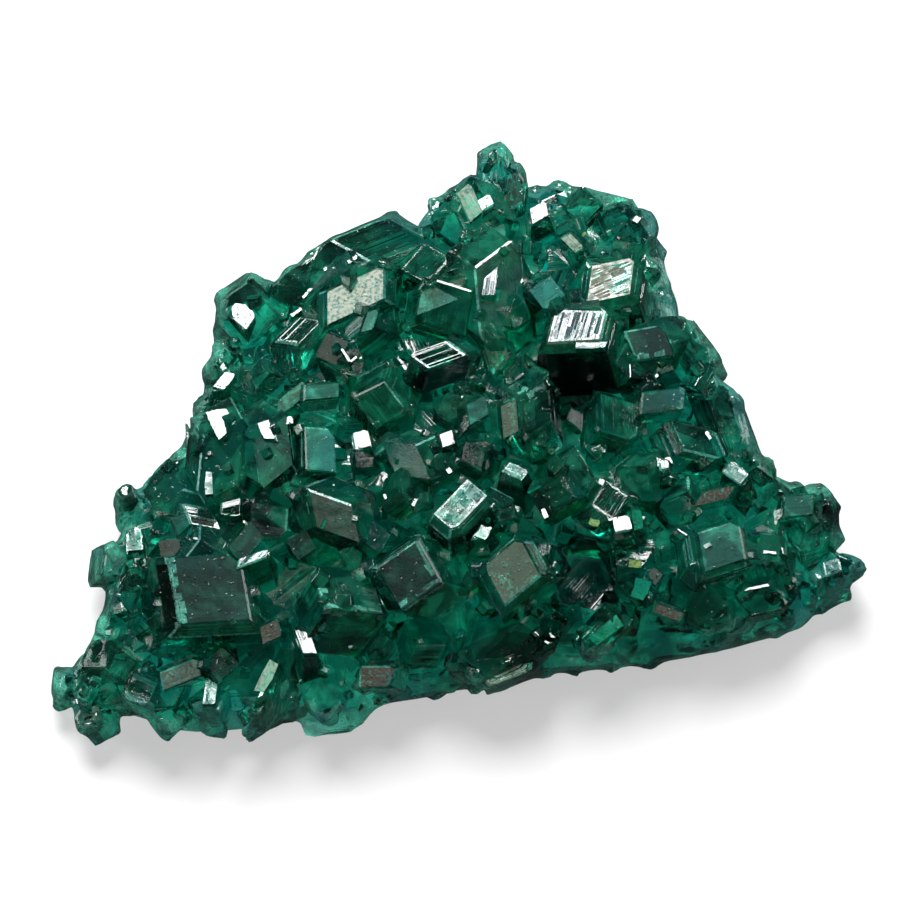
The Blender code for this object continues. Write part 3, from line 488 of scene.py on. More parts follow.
def crystal_mesh(
    name: str, half_width: float, half_length: float, rounding: float, soft: bool, growth: random.Random
) -> Mesh:
    """Make one small dioptase crystal, its axis upright and its middle at the origin.

    Args:
        name: The mesh's name.
        half_width: Half the distance between opposite sides, in metres.
        half_length: Half the length from point to point, in metres.
        rounding: The width of its rounded edges, over its half width.
        soft: Whether it is smooth all over, like a worn lump.
        growth: What varies how far each face has grown.

    Returns:
        The crystal's closed mesh, its faces finished.
    """
    spread = 0.14
    planes = []
    for step in range(6):
        turn = math.radians(30 + 60 * step)
        planes.append((Vector((math.cos(turn), math.sin(turn), 0)), half_width))
    for end in (1, -1):
        for step in range(3):
            normal = direction(POINT_DIP, 120 * step) * end
            planes.append((normal, half_length * math.cos(math.radians(POINT_DIP))))
    body = bmesh.new()
    bmesh.ops.create_cube(body, size=8 * max(half_width, half_length))
    for normal, distance in planes:
        grown = distance * growth.uniform(1 - spread, 1 + spread)
        parts = body.verts[:] + body.edges[:] + body.faces[:]
        cut = bmesh.ops.bisect_plane(
            body, geom=parts, dist=1e-9, plane_co=normal * grown, plane_no=normal, clear_outer=True
        )
        rim = [part for part in cut["geom_cut"] if isinstance(part, BMEdge)]
        if rim:
            bmesh.ops.edgeloop_fill(body, edges=rim)
    bmesh.ops.dissolve_degenerate(body, edges=body.edges, dist=0.06 * half_width)
    bmesh.ops.recalc_face_normals(body, faces=body.faces)
    layers = FaceLayers(body)
    tone = growth.random()
    for face in body.faces:
        look = growth.choice((Look.GLASSY, Look.GLASSY, Look.VEILED, Look.ETCHED))
        layers.dress(face, Look.LUMPY if soft else look, tone, face.normal.orthogonal())
    rounded = bmesh.ops.bevel(
        body, geom=body.edges[:], offset=rounding * half_width, segments=1, profile=0.5,
        affect="EDGES", clamp_overlap=True,
    )
    for face in rounded["faces"]:
        layers.share_look(face, Look.LUMPY if soft else Look.VEILED)
    for face in body.faces:
        face[layers.of["soft"]] = float(soft)
    mesh = bpy.data.meshes.new(name)
    body.to_mesh(mesh)
    body.free()
    return mesh


@dataclass
class NodeGraph:
    """A node tree that is being drawn, with short ways to add and join nodes.

    Attributes:
        tree: The node tree.
    """

    tree: NodeTree

    def add(self, kind: str, wires: dict[str | int, object] | None = None, **settings: object) -> Node:
        """Add a node.

        Args:
            kind: The node's type.
            wires: A plain value or the output of another node, for some of its inputs.
            settings: Values of the node's own properties.

        Returns:
            The node.
        """
        node = self.tree.nodes.new(kind)
        for name, value in settings.items():
            setattr(node, name, value)
        for name, value in (wires or {}).items():
            self.feed(node.inputs[name], value)
        return node

    def feed(self, socket: NodeSocket, value: object) -> None:
        """Give a socket a plain value, or the output of another node.

        Args:
            socket: The input.
            value: A number, a tuple, or an output socket.
        """
        if isinstance(value, NodeSocket):
            self.tree.links.new(value, socket)
        else:
            socket.default_value = value

    def math(self, operation: str, first: object, second: object = 0.0, clamp: bool = False) -> NodeSocket:
        """Add a Math node.

        Args:
            operation: What it does.
            first: Its first input.
            second: Its second input.
            clamp: Whether its result is kept from 0 to 1.

        Returns:
            Its output.
        """
        wires = {0: first, 1: second}
        return self.add("ShaderNodeMath", wires, operation=operation, use_clamp=clamp).outputs[0]

    def spread(self, value: object, low: float, high: float, to_low: float, to_high: float) -> NodeSocket:
        """Map a value from one range to another with soft ends, and keep it there.

        Args:
            value: The input.
            low: The start of its range.
            high: The end of its range.
            to_low: What the start becomes.
            to_high: What the end becomes.

        Returns:
            The mapped value.
        """
        wires = dict(enumerate((value, low, high, to_low, to_high)))
        return self.add("ShaderNodeMapRange", wires, interpolation_type="SMOOTHSTEP").outputs[0]

    def noise(self, place: NodeSocket, size: float, detail: float, distortion: float = 0.0) -> NodeSocket:
        """Add a noise whose patches have a size.

        Args:
            place: Where it is read.
            size: The size of a patch, in metres.
            detail: How many finer octaves it has.
            distortion: How much it is swirled.

        Returns:
            Its value, from 0 to 1.
        """
        wires = {"Vector": place, "Scale": 1 / size, "Detail": detail, "Distortion": distortion}
        return self.add("ShaderNodeTexNoise", wires).outputs["Fac"]

    def blend(self, share: object, first: object, second: object) -> NodeSocket:
        """Mix two colours.

        Args:
            share: How much of the second.
            first: The first colour.
            second: The second colour.

        Returns:
            The mixed colour.
        """
        wires = {"Factor": share, 6: first, 7: second}
        return self.add("ShaderNodeMix", wires, data_type="RGBA").outputs[2]

    def face_value(self, name: str, output: str = "Fac") -> NodeSocket:
        """Read an attribute of the mesh's faces, from one output of its node."""
        return self.add("ShaderNodeAttribute", attribute_name=name).outputs[output]

    def triple(self, *values: object) -> NodeSocket:
        """Put three numbers together in one vector."""
        return self.add("ShaderNodeCombineXYZ", dict(enumerate(values))).outputs[0]

    def union(self, *parts: NodeSocket) -> NodeSocket:
        """Join closed meshes and instances of them in one closed mesh.

        Args:
            parts: What is joined.

        Returns:
            The realised mesh.
        """
        grown = self.add("GeometryNodeMeshBoolean", operation="UNION", solver="MANIFOLD")
        for part in parts:
            self.feed(grown.inputs["Mesh 2"], part)
        whole = self.add("GeometryNodeRealizeInstances", {"Geometry": grown.outputs["Mesh"]})
        return whole.outputs["Geometry"]

    def give(self, geometry: NodeSocket) -> None:
        """End a Geometry Nodes tree with what it gives back."""
        self.add("NodeGroupOutput", {"Geometry": geometry})


@dataclass(frozen=True)
class CrystalGreen:
    """Dioptase: clear green crystal with cloudy patches, and a finish for each flat face.

    Attributes:
        deep: The green where it is clearest.
        bright: The green of the paler patches.
        dark_and_shade_green: The near-black green that darkened faces blend towards; in the hollows it is
            painted shade.
        teal: The bluer green that some crystals have.
        clear: How much of the light goes through, rather than back from the cloudiness inside.
        refraction: The refractive index.
        absorb: The colour that the depth keeps.
        density: How strongly the depth absorbs, for a metre.
        cloud_size: The size of the cloudy patches, in metres.
        hue_patch: The size of the teal patches, over that of the cloudy ones.
        haze_patch: The size of the hazy patches, over the same.
        wave_patch: The size of the slow waves, over the same.
        grain_size: The size of the etched grain, in metres.
        speckle_patch: The size of the holes in a film, over that of the grain.
        speck_size: The distance between bright specks, in metres.
        ridge_size: The distance between striations, in metres.
        cloud_levels: Two levels of the cloud noise, and how bright the green is at each.
        tone_lift: How much a pale crystal's own tone adds to that.
        hue_levels: Two levels of the hue noise, and how much teal there is at each.
        speckle_levels: Two levels of the speckle noise, and the share of a film that is left at each.
        haze_levels: Two levels of the haze noise, and the share of a face's haze at each.
        smudge_levels: The same, and the roughness of bare crystal at each.
        speck_levels: Two levels of the speck noise, and the share of a speck's height at each.
        wave_rise: The height of the slow waves, in millimetres, and so on for the other relief.
    """

    deep: tuple[float, float, float, float] = (0.005, 0.13, 0.1, 1.0)
    bright: tuple[float, float, float, float] = (0.14, 1.0, 0.7, 1.0)
    teal: tuple[float, float, float, float] = (0.01, 0.36, 0.36, 1.0)
    dark_and_shade_green: tuple[float, float, float, float] = (0.0004, 0.003, 0.0022, 1.0)
    clear: float = 0.96
    refraction: float = 1.67
    absorb: tuple[float, float, float, float] = (0.0, 0.72, 0.64, 1.0)
    density: float = 520.0
    cloud_size: float = 1.5 * MM
    hue_patch: float = 2.7
    haze_patch: float = 0.35
    wave_patch: float = 0.5
    grain_size: float = 0.13 * MM
    speckle_patch: float = 1.5
    speck_size: float = 0.3 * MM
    ridge_size: float = 0.13 * MM
    cloud_levels: tuple[float, float, float, float] = (0.44, 0.66, 0.0, 0.85)
    tone_lift: float = 0.3
    hue_levels: tuple[float, float, float, float] = (0.45, 0.65, 0.0, 0.7)
    speckle_levels: tuple[float, float, float, float] = (0.25, 0.75, 0.35, 1.0)
    haze_levels: tuple[float, float, float, float] = (0.4, 0.7, 0.4, 1.3)
    smudge_levels: tuple[float, float, float, float] = (0.5, 0.75, 0.015, 0.06)
    speck_levels: tuple[float, float, float, float] = (0.66, 0.74, 0.0, 1.0)
    wave_rise: float = 0.02
    ridge_rise: float = 0.03
    grain_rise: float = 0.035
    speck_rise: float = 0.02

    def make(self) -> Material:
        """Build the material.

        Returns:
            The material.
        """
        material = bpy.data.materials.new("dioptase_green")
        material.use_nodes = True
        material.node_tree.nodes.clear()
        graph = NodeGraph(material.node_tree)
        shader = graph.add("ShaderNodeBsdfPrincipled", {"IOR": self.refraction})
        depth = graph.add("ShaderNodeVolumeAbsorption", {"Color": self.absorb, "Density": self.density})
        ends = {"Surface": shader.outputs["BSDF"], "Volume": depth.outputs["Volume"]}
        graph.add("ShaderNodeOutputMaterial", ends)
        place = graph.add("ShaderNodeTexCoord").outputs["Object"]
        self.colour(graph, shader, place)
        self.roughness(graph, shader, place)
        self.relief(graph, shader, place)
        return material

    def colour(self, graph: NodeGraph, shader: Node, place: NodeSocket) -> None:
        """Draw the colour: cloudy greens, painted shade in the hollows, and the film on some faces.

        Args:
            graph: The material's nodes.
            shader: The surface shader.
            place: The place on the specimen.
        """
        cloud = graph.noise(place, self.cloud_size, 4, 0.6)
        hue = graph.noise(place, self.cloud_size * self.hue_patch, 1)
        tone = graph.math("MULTIPLY", graph.face_value("tone"), self.tone_lift)
        lift = graph.math("ADD", graph.spread(cloud, *self.cloud_levels), tone, clamp=True)
        green = graph.blend(lift, self.deep, self.bright)
        green = graph.blend(graph.spread(hue, *self.hue_levels), green, self.teal)
        # Painted shade: the dark value blends the green towards the near-black, most in the hollows
        green = graph.blend(graph.face_value("dark"), green, self.dark_and_shade_green)
        holes = graph.noise(place, self.grain_size * self.speckle_patch, 1)
        speckle = graph.spread(holes, *self.speckle_levels)
        cover = graph.math("MULTIPLY", graph.face_value("cover"), speckle, clamp=True)
        colour = graph.blend(cover, green, graph.face_value("film", "Color"))
        graph.feed(shader.inputs["Base Color"], colour)
        bare = graph.math("SUBTRACT", 1.0, cover)
        graph.feed(shader.inputs["Transmission Weight"], graph.math("MULTIPLY", bare, self.clear))

    def roughness(self, graph: NodeGraph, shader: Node, place: NodeSocket) -> None:
        """Draw the roughness: each face's own haze, in patches.

        Args:
            graph: The material's nodes.
            shader: The surface shader.
            place: The place on the specimen.
        """
        noise = graph.noise(place, self.cloud_size * self.haze_patch, 2)
        patches = graph.spread(noise, *self.haze_levels)
        haze = graph.math("MULTIPLY", graph.face_value("haze"), patches)
        smudge = graph.spread(noise, *self.smudge_levels)
        graph.feed(shader.inputs["Roughness"], graph.math("ADD", haze, smudge))

    def relief(self, graph: NodeGraph, shader: Node, place: NodeSocket) -> None:
        """Draw the fine relief: slow waves, striations along each face, etched grain and specks.

        Args:
            graph: The material's nodes.
            shader: The surface shader.
            place: The place on the specimen.
        """
        ways = {0: place, 1: graph.face_value("ridge_way", "Vector")}
        along = graph.add("ShaderNodeVectorMath", ways, operation="DOT_PRODUCT").outputs["Value"]
        wires = {"W": graph.math("MULTIPLY", along, 1 / self.ridge_size), "Scale": 1.0, "Detail": 1.0}
        line = graph.add("ShaderNodeTexNoise", wires, noise_dimensions="1D")
        ridges = graph.math("MULTIPLY", line.outputs["Fac"], graph.face_value("ridge"))
        noise = graph.noise(place, self.grain_size, 2)
        grain = graph.math("MULTIPLY", noise, graph.face_value("grain"))
        specks = graph.spread(graph.noise(place, self.speck_size, 1), *self.speck_levels)
        waves = graph.noise(place, self.cloud_size * self.wave_patch, 0)
        height = graph.math("MULTIPLY", waves, self.wave_rise)
        for part, rise in ((ridges, self.ridge_rise), (grain, self.grain_rise), (specks, self.speck_rise)):
            height = graph.math("ADD", height, graph.math("MULTIPLY", part, rise))
        bump = graph.add("ShaderNodeBump", {"Height": height, "Distance": MM, "Strength": 1.0})
        graph.feed(shader.inputs["Normal"], bump.outputs["Normal"])


def new_tree(name: str, inputs: dict[str, str]) -> tuple[NodeGraph, NodeOutputs]:
    """Start a Geometry Nodes tree.

    Args:
        name: Its name.
        inputs: The kind of each input besides the geometry, by its name.

    Returns:
        The tree as it is drawn, and the outputs that hold its inputs' values.
    """
    tree = bpy.data.node_groups.new(name, "GeometryNodeTree")
    for label, kind in {"Geometry": "Geometry", **inputs}.items():
        tree.interface.new_socket(label, in_out="INPUT", socket_type=f"NodeSocket{kind}")
    tree.interface.new_socket("Geometry", in_out="OUTPUT", socket_type="NodeSocketGeometry")
    graph = NodeGraph(tree)
    return graph, graph.add("NodeGroupInput").outputs


def face_numbers(mesh: Mesh, name: str) -> np.ndarray:
    """Read one of the values that a mesh's faces carry."""
    numbers = np.zeros(len(mesh.polygons), np.float32)
    mesh.attributes[name].data.foreach_get("value", numbers)
    return numbers


def apply_nodes(host: bpy.types.Object, tree: NodeTree, values: dict[str, object]) -> None:
    """Change an object's mesh by a Geometry Nodes tree.

    Args:
        host: The object.
        tree: The tree.
        values: The values of its inputs, by their names.
    """
    grower = host.modifiers.new(tree.name, "NODES")
    grower.node_group = tree
    for item in tree.interface.items_tree:
        if item.item_type == "SOCKET" and item.in_out == "INPUT" and item.name in values:
            grower[item.identifier] = values[item.name]
    graph = bpy.context.evaluated_depsgraph_get()
    graph.update()
    grown = bpy.data.meshes.new_from_object(host.evaluated_get(graph))
    host.modifiers.remove(grower)
    host.data = grown
    log.info("%s: the specimen now has %d faces", tree.name, len(grown.polygons))


def cut_level(host: bpy.types.Object) -> None:
    """Cut off what lies under the floor.

    Args:
        host: The object, whose mesh is changed.
    """
    graph, given = new_tree("cut_level", {"Width": "Float"})
    block = graph.add("GeometryNodeMeshCube", {"Size": graph.triple(*[given["Width"]] * 3)})
    down = graph.triple(0.0, 0.0, graph.math("MULTIPLY", given["Width"], -0.5))
    wires = {"Geometry": block.outputs["Mesh"], "Translation": down}
    lowered = graph.add("GeometryNodeTransform", wires)
    wires = {"Mesh 1": given["Geometry"], "Mesh 2": lowered.outputs["Geometry"]}
    kept = graph.add("GeometryNodeMeshBoolean", wires, operation="DIFFERENCE", solver="MANIFOLD")
    graph.give(kept.outputs["Mesh"])
    apply_nodes(host, graph.tree, {"Width": 0.1})


@dataclass
class SmallCrystals:
    """Small crystals that grow on the specimen, wherever an attribute of it leaves room.

    Attributes:
        name: What they are called.
        room: The attribute that leaves room for them.
        kinds: How many different crystals there are.
        spacing: The least distance between two, in metres.
        crowding: How many there are at most, for a square metre.
        smallest: The size of the smallest, over the first one's.
        largest: The size of the largest, over the first one's.
        lean: How far one may lean from the surface it grows on, in degrees.
        half_width: Half the width of the first, in metres.
        length: The least and the most length over the width.
        rounding: The width of the rounded edges, over the half width.
        sunk: How deep the middle lies under the surface, over the half width.
        soft: Whether they are smooth all over.
        flash: Whether a point face of each lies the BRIGHT way, whatever surface it grows on.
        seed: What fixes the random choices.
        often_small: The power that makes small ones commoner than large ones.
    """

    name: str = "crust_crystals"
    room: str = "crust_room"
    kinds: int = 5
    spacing: float = 0.85 * MM
    crowding: float = 1.3e6
    smallest: float = 0.4
    largest: float = 1.25
    lean: float = 38.0
    half_width: float = 0.62 * MM
    length: tuple[float, float] = (1.15, 1.7)
    rounding: float = 0.16
    sunk: float = 0.15
    soft: bool = False
    flash: bool = False
    seed: int = 7
    often_small: float = 1.7

    def forms(self) -> Collection:
        """Make the crystals that are repeated.

        Returns:
            The collection that holds them, which isn't shown.
        """
        growth = random.Random(self.seed)
        kept = bpy.data.collections.new(f"{self.name}_forms")
        for kind in range(self.kinds):
            half_length = self.half_width * growth.uniform(*self.length)
            mesh = crystal_mesh(
                f"{self.name}_{kind}", self.half_width, half_length, self.rounding, self.soft, growth
            )
            if self.flash:
                upright = direction(POINT_DIP, 0).rotation_difference(Vector((0, 0, 1)))
                mesh.transform(upright.to_matrix().to_4x4())
            mesh.transform(Matrix.Translation((0, 0, -self.sunk * self.half_width)))
            kept.objects.link(bpy.data.objects.new(mesh.name, mesh))
        return kept

    def tree(self) -> NodeTree:
        """Draw the tree that sows the crystals on the specimen and joins them with it.

        Returns:
            The Geometry Nodes tree.
        """
        inputs = dict.fromkeys(("Spacing", "Crowding", "Smallest", "Largest", "Lean"), "Float")
        inputs |= {"Seed": "Int", "Forms": "Collection", "Material": "Material"}
        graph, given = new_tree(f"sow_{self.name}", inputs)
        room = graph.add("GeometryNodeInputNamedAttribute", {"Name": self.room}, data_type="FLOAT")
        wires = {
            "Mesh": given["Geometry"],
            "Distance Min": given["Spacing"],
            "Density Max": given["Crowding"],
            "Density Factor": room.outputs["Attribute"],
            "Seed": given["Seed"],
        }
        sown = graph.add("GeometryNodeDistributePointsOnFaces", wires, distribute_method="POISSON")
        wires = {"Collection": given["Forms"], "Separate Children": True, "Reset Children": True}
        forms = graph.add("GeometryNodeCollectionInfo", wires)
        low, high = graph.math("MULTIPLY", given["Lean"], -1.0), given["Lean"]
        wires = {
            0: graph.triple(low, low, -math.pi),
            1: graph.triple(high, high, math.pi),
            "Seed": given["Seed"],
        }
        turn = graph.add("FunctionNodeRandomValue", wires, data_type="FLOAT_VECTOR")
        upright = sown.outputs["Rotation"]
        if self.flash:
            upright = tuple(Vector((0, 0, 1)).rotation_difference(direction(*BRIGHT)).to_euler())
        wires = {"Rotation": upright, "Rotate By": turn.outputs["Value"]}
        turned = graph.add("FunctionNodeRotateRotation", wires, rotation_space="LOCAL")
        wires = {2: 0.0, 3: 1.0, "Seed": given["Seed"]}
        size = graph.add("FunctionNodeRandomValue", wires, data_type="FLOAT")
        share = graph.math("POWER", size.outputs[1], self.often_small)
        span = graph.math("SUBTRACT", given["Largest"], given["Smallest"])
        scale = graph.math("ADD", given["Smallest"], graph.math("MULTIPLY", share, span))
        wires = {
            "Points": sown.outputs["Points"],
            "Instance": forms.outputs[0],
            "Pick Instance": True,
            "Rotation": turned.outputs["Rotation"],
            "Scale": scale,
        }
        planted = graph.add("GeometryNodeInstanceOnPoints", wires)
        whole = graph.union(planted.outputs["Instances"], given["Geometry"])
        dressed = graph.add("GeometryNodeSetMaterial", {"Geometry": whole, "Material": given["Material"]})
        graph.give(dressed.outputs["Geometry"])
        return graph.tree

    def sow(self, host: bpy.types.Object, material: Material) -> None:
        """Sow the crystals over a specimen, and join them with it.

        Args:
            host: The specimen, whose mesh is changed.
            material: The material of the result.
        """
        values = {
            "Spacing": self.spacing,
            "Crowding": self.crowding,
            "Smallest": self.smallest,
            "Largest": self.largest,
            "Lean": math.radians(self.lean),
            "Seed": self.seed,
            "Forms": self.forms(),
            "Material": material,
        }
        apply_nodes(host, self.tree(), values)


@dataclass
class GrowthPlates:
    """What has grown on the specimen's faces: low terraces, strips, grains, frosted bands and chips.

    Each is a closed block with a tilted top and a foot under the face, and all are joined with the
    specimen at once.

    Attributes:
        least_area: The least area of a face that has them, in square metres.
        least_facing: The least upward part of its normal.
        tries: How many places are tried for the middle of a face.
        margin: The least and the most distance from the face's edges, over the middle's distance.
        further_in: How much larger the margins of the next terrace on a face are.
        rise: The least and the most height of one terrace, in metres.
        sunk: How deep a terrace's foot lies under the face, in metres.
        tilt: The most tilt of a terrace, in degrees.
        least_side: The shortest side of an outline, in metres.
        stria_area: The least area of a striated face that has strips, in square metres.
        stria_width: The least and the most width of a strip, in metres.
        stria_tilt: The most tilt of a strip, in degrees.
        ridge_tilt: The most tilt of a strip on a face with a bright end, in degrees.
        dull_tilt: The least and the most tilt of a strip on a dull face, in degrees.
        grain_length: The least and the most length of a silvery face's grains, in metres.
        stria_margin: The least and the most distance of the strips from the face's edges, over the
            middle's distance.
        shine: The least share of the face's haze that a strip has, and the range above it.
        bare_haze: The haze of the strips at a bright end.
        bare_cover: The share of the film that the strips at a bright end keep.
        band_width: The least and the most width of a frosted band, in metres.
        band_length: The least and the most length of a strip on a face with a bright end, in metres.
        band_reach: How far a banded edge may lie from its place in the table, in millimetres.
        band_edge: Its least length, in metres.
        band_fold: Its least fold, in degrees.
        band_pull: How much nearer it counts, over its length.
        band_facing: The least upward part of the normal of its flatter face.
        band_start: The least and the most start of a band, over the width of the rounded edge.
        band_share: The share of a band's pieces that have grown.
        chip_rise: How far a chip's top lies over the surface it grows on, in metres.
        chip_root: How much deeper than its own length a chip's foot lies, in metres.
        chip_most_rise: The most that a chip's top is lifted on a slope, in metres.
        chip_lift: How much of its overhang a chip's top is lifted on a slope.
        chip_steepest: The steepest slope that counts in that, in radians.
        chip_lengths: How far ahead a chip's corners lie at least and at most, over its half length.
        chip_widths: How far aside they lie, over its half width.
        chip_tone: How pale a chip's green is, from 0 to 1.
        sight: How far off a line of sight starts, in metres.
        seed: What fixes the random choices.
    """

    least_area: float = 0.8 * MM * MM
    least_facing: float = -0.3
    tries: int = 24
    margin: tuple[float, float] = (0.06, 0.85)
    further_in: float = 1.25
    rise: tuple[float, float] = (0.01 * MM, 0.035 * MM)
    sunk: float = 0.06 * MM
    tilt: float = 1.4
    least_side: float = 0.08 * MM
    stria_area: float = 0.35 * MM * MM
    stria_width: tuple[float, float] = (0.1 * MM, 0.36 * MM)
    stria_tilt: float = 15.0
    ridge_tilt: float = 26.0
    dull_tilt: tuple[float, float] = (12.0, 22.0)
    grain_length: tuple[float, float] = (0.25 * MM, 0.8 * MM)
    band_width: tuple[float, float] = (0.14 * MM, 0.5 * MM)
    band_length: tuple[float, float] = (0.5 * MM, 1.6 * MM)
    stria_margin: tuple[float, float] = (0.04, 0.22)
    shine: tuple[float, float] = (0.4, 1.2)
    bare_haze: float = 0.2
    bare_cover: float = 0.3
    band_reach: float = 1.3
    band_edge: float = 1.2 * MM
    band_fold: float = 12.0
    band_pull: float = 0.15
    band_facing: float = 0.5
    band_start: tuple[float, float] = (1.1, 1.5)
    band_share: float = 0.85
    chip_rise: float = 0.12 * MM
    chip_root: float = 0.4 * MM
    chip_most_rise: float = 0.8 * MM
    chip_lift: float = 0.7
    chip_steepest: float = 1.2
    chip_lengths: tuple[float, float] = (0.75, 1.1)
    chip_widths: tuple[float, float] = (0.7, 1.15)
    chip_tone: float = 0.3
    sight: float = 0.2
    seed: int = 31

    def middle(self, face: BMFace, growth: random.Random) -> tuple[Vector, float]:
        """Find a place on a face that is far from its edges.

        Args:
            face: The face.
            growth: What the places are drawn from.

        Returns:
            The place, and its distance from the nearest edge.
        """
        corners = [loop.vert.co for loop in face.loops]
        best, best_reach = face.calc_center_median_weighted(), 0.0
        for _ in range(self.tries):
            shares = [growth.random() ** 2 for _ in corners]
            place = sum((corner * share for corner, share in zip(corners, shares)), Vector()) / sum(shares)
            if not bmesh.geometry.intersect_face_point(face, place):
                continue
            reach = min((place - self.nearest(place, edge)).length for edge in face.edges)
            if reach > best_reach:
                best, best_reach = place, reach
        return best, best_reach

    @staticmethod
    def nearest(place: Vector, edge: BMEdge) -> Vector:
        """Give the point of an edge that is nearest to a place."""
        start, end = edge.verts[0].co, edge.verts[1].co
        along = end - start
        share = (place - start).dot(along) / max(along.length_squared, 1e-18)
        return start + along * min(1.0, max(0.0, share))

    @staticmethod
    def clip(corners: list[Vector], foot: Vector, inward: Vector, margin: float) -> list[Vector]:
        """Keep the part of a convex outline that lies beyond a line.

        Args:
            corners: The outline.
            foot: A point of the line.
            inward: The direction that is kept.
            margin: How far from the point the kept part begins, in metres.

        Returns:
            The corners of the kept part.
        """
        kept: list[Vector] = []
        for last, here in zip(corners[-1:] + corners[:-1], corners):
            depth_last = (last - foot).dot(inward) - margin
            depth_here = (here - foot).dot(inward) - margin
            if (depth_last < 0) != (depth_here < 0):
                kept.append(last.lerp(here, depth_last / (depth_last - depth_here)))
            if depth_here >= 0:
                kept.append(here)
        return kept

    def outline(
        self, face: BMFace, middle: Vector, margins: tuple[float, float], growth: random.Random
    ) -> list[Vector]:
        """Draw a terrace's outline: what is left of the face beside every edge of it.

        Args:
            face: The face.
            middle: The place it is drawn round.
            margins: The least and the most distance from an edge of the face, in metres.
            growth: What the margins are drawn from.

        Returns:
            The corners of the outline.
        """
        across = face.normal.orthogonal().normalized()
        up = face.normal.cross(across)
        half = 3 * math.sqrt(face.calc_area())
        square = ((-1, -1), (1, -1), (1, 1), (-1, 1))
        corners = [middle + across * half * x + up * half * y for x, y in square]
        for edge in face.edges:
            foot = self.nearest(middle, edge)
            corners = self.clip(corners, foot, (middle - foot).normalized(), growth.uniform(*margins))
        return corners

    @staticmethod
    def extent(corners: list[Vector], along: Vector) -> float:
        """Give how far an outline reaches in a direction."""
        return max(corner.dot(along) for corner in corners) - min(corner.dot(along) for corner in corners)

    def spaced(self, corners: list[Vector]) -> list[Vector]:
        """Leave out corners that lie too near the last one, and the whole outline if few are left."""
        kept: list[Vector] = []
        for corner in corners:
            if not kept or min((corner - kept[-1]).length, (corner - kept[0]).length) > self.least_side:
                kept.append(corner)
        return kept if len(kept) > 2 else []

    def add_plate(
        self, plates: BMesh, to: FaceLayers, face: BMFace, given: FaceLayers,
        corners: list[Vector], rise: float, tilt: Matrix, growth: random.Random,
    ) -> None:
        """Add one terrace to the mesh of terraces.

        Args:
            plates: The mesh of terraces.
            to: Its layers.
            face: The face that the terrace grows on.
            given: The layers of that face.
            corners: The terrace's outline.
            rise: Its height, in metres.
            tilt: The turn of its top.
            growth: What its walls' finish is drawn from.
        """
        corners = self.spaced(corners)
        if not corners:
            return
        middle = sum(corners, Vector()) / len(corners)
        raised = face.normal * rise
        foot = [plates.verts.new(corner - face.normal * self.sunk) for corner in corners]
        top = [plates.verts.new(middle + tilt @ (corner - middle) + raised) for corner in corners]
        upper = plates.faces.new(top)
        plates.faces.new(foot[::-1])
        tone, way = face[given.of["tone"]], Vector(face[given.way])
        for step, (one, two) in enumerate(zip(foot, foot[1:] + foot[:1])):
            wall = plates.faces.new((one, two, top[(step + 1) % len(top)], top[step]))
            to.dress(wall, growth.choice((Look.FROSTED, Look.GLASSY)), tone, way)
        for name in FaceLayers.numbers:
            upper[to.of[name]] = face[given.of[name]]
        upper[to.way] = way
        upper[to.film] = face[given.film]

    def strips(
        self, corners: list[Vector], across: Vector, widths: tuple[float, float], growth: random.Random
    ) -> list[list[Vector]]:
        """Cut an outline into strips.

        Args:
            corners: The outline.
            across: The direction across the strips.
            widths: The least and the most width of a strip, in metres.
            growth: What the widths are drawn from.

        Returns:
            The outlines of the strips.
        """
        reach = [corner.dot(across) for corner in corners]
        at, found = min(reach), []
        while at < max(reach):
            width = growth.uniform(*widths)
            strip = self.clip(corners, across * at, across, 0.0)
            strip = self.clip(strip, across * (at + width), -across, 0.0)
            if len(strip) > 2:
                found.append(strip)
            at += width
        return found

    def add_chips(self, plates: BMesh, to: FaceLayers, body: BMesh) -> None:
        """Add the small crystals of the table, each where the line of sight meets the specimen.

        Args:
            plates: The mesh of terraces.
            to: Its layers.
            body: The specimen.
        """
        growth = random.Random(self.seed)
        surface = BVHTree.FromBMesh(body)
        for chip in CHIPS:
            seen = (Vector((chip.x, 0, 0)) + UPWARD * chip.up + PART_SHIFT) * MM
            place, under, _, _ = surface.ray_cast(seen + TO_EYE * self.sight, -TO_EYE)
            if place is None:
                log.info("%s misses the specimen", chip.name)
                continue
            normal = direction(*chip.way)
            bearing = math.radians(chip.line)
            along = Vector((math.cos(bearing), 0, 0)) + UPWARD * math.sin(bearing)
            along = (along - normal * along.dot(normal)).normalized()
            across = normal.cross(along)
            half_length, half_width = chip.length * MM / 2, chip.width * MM / 2
            slope = min(normal.angle(under), self.chip_steepest)
            lift = self.chip_lift * half_length * math.tan(slope)
            rise = self.chip_rise + min(self.chip_most_rise, lift)
            depth = self.chip_rise + half_length + self.chip_root
            ring = ((-1, -1), (0, -1), (1, -1), (1, 1), (0, 1), (-1, 1))
            corners = []
            for one, two in ring:
                ahead, aside = growth.uniform(*self.chip_lengths), growth.uniform(*self.chip_widths)
                corner = place + along * one * ahead * half_length
                corners.append(corner + across * two * aside * half_width)
            foot = [plates.verts.new(corner - normal * depth) for corner in corners]
            top = [plates.verts.new(corner + normal * rise) for corner in corners]
            upper = plates.faces.new(top)
            to.dress(upper, chip.look, self.chip_tone, across)
            upper[to.of["kept"]] = 1.0
            plates.faces.new(foot[::-1])
            for step in range(len(ring)):
                last = (step + 1) % len(ring)
                wall = plates.faces.new((foot[step], foot[last], top[last], top[step]))
                to.dress(wall, growth.choice((Look.VEILED, Look.GLASSY)), self.chip_tone, across)

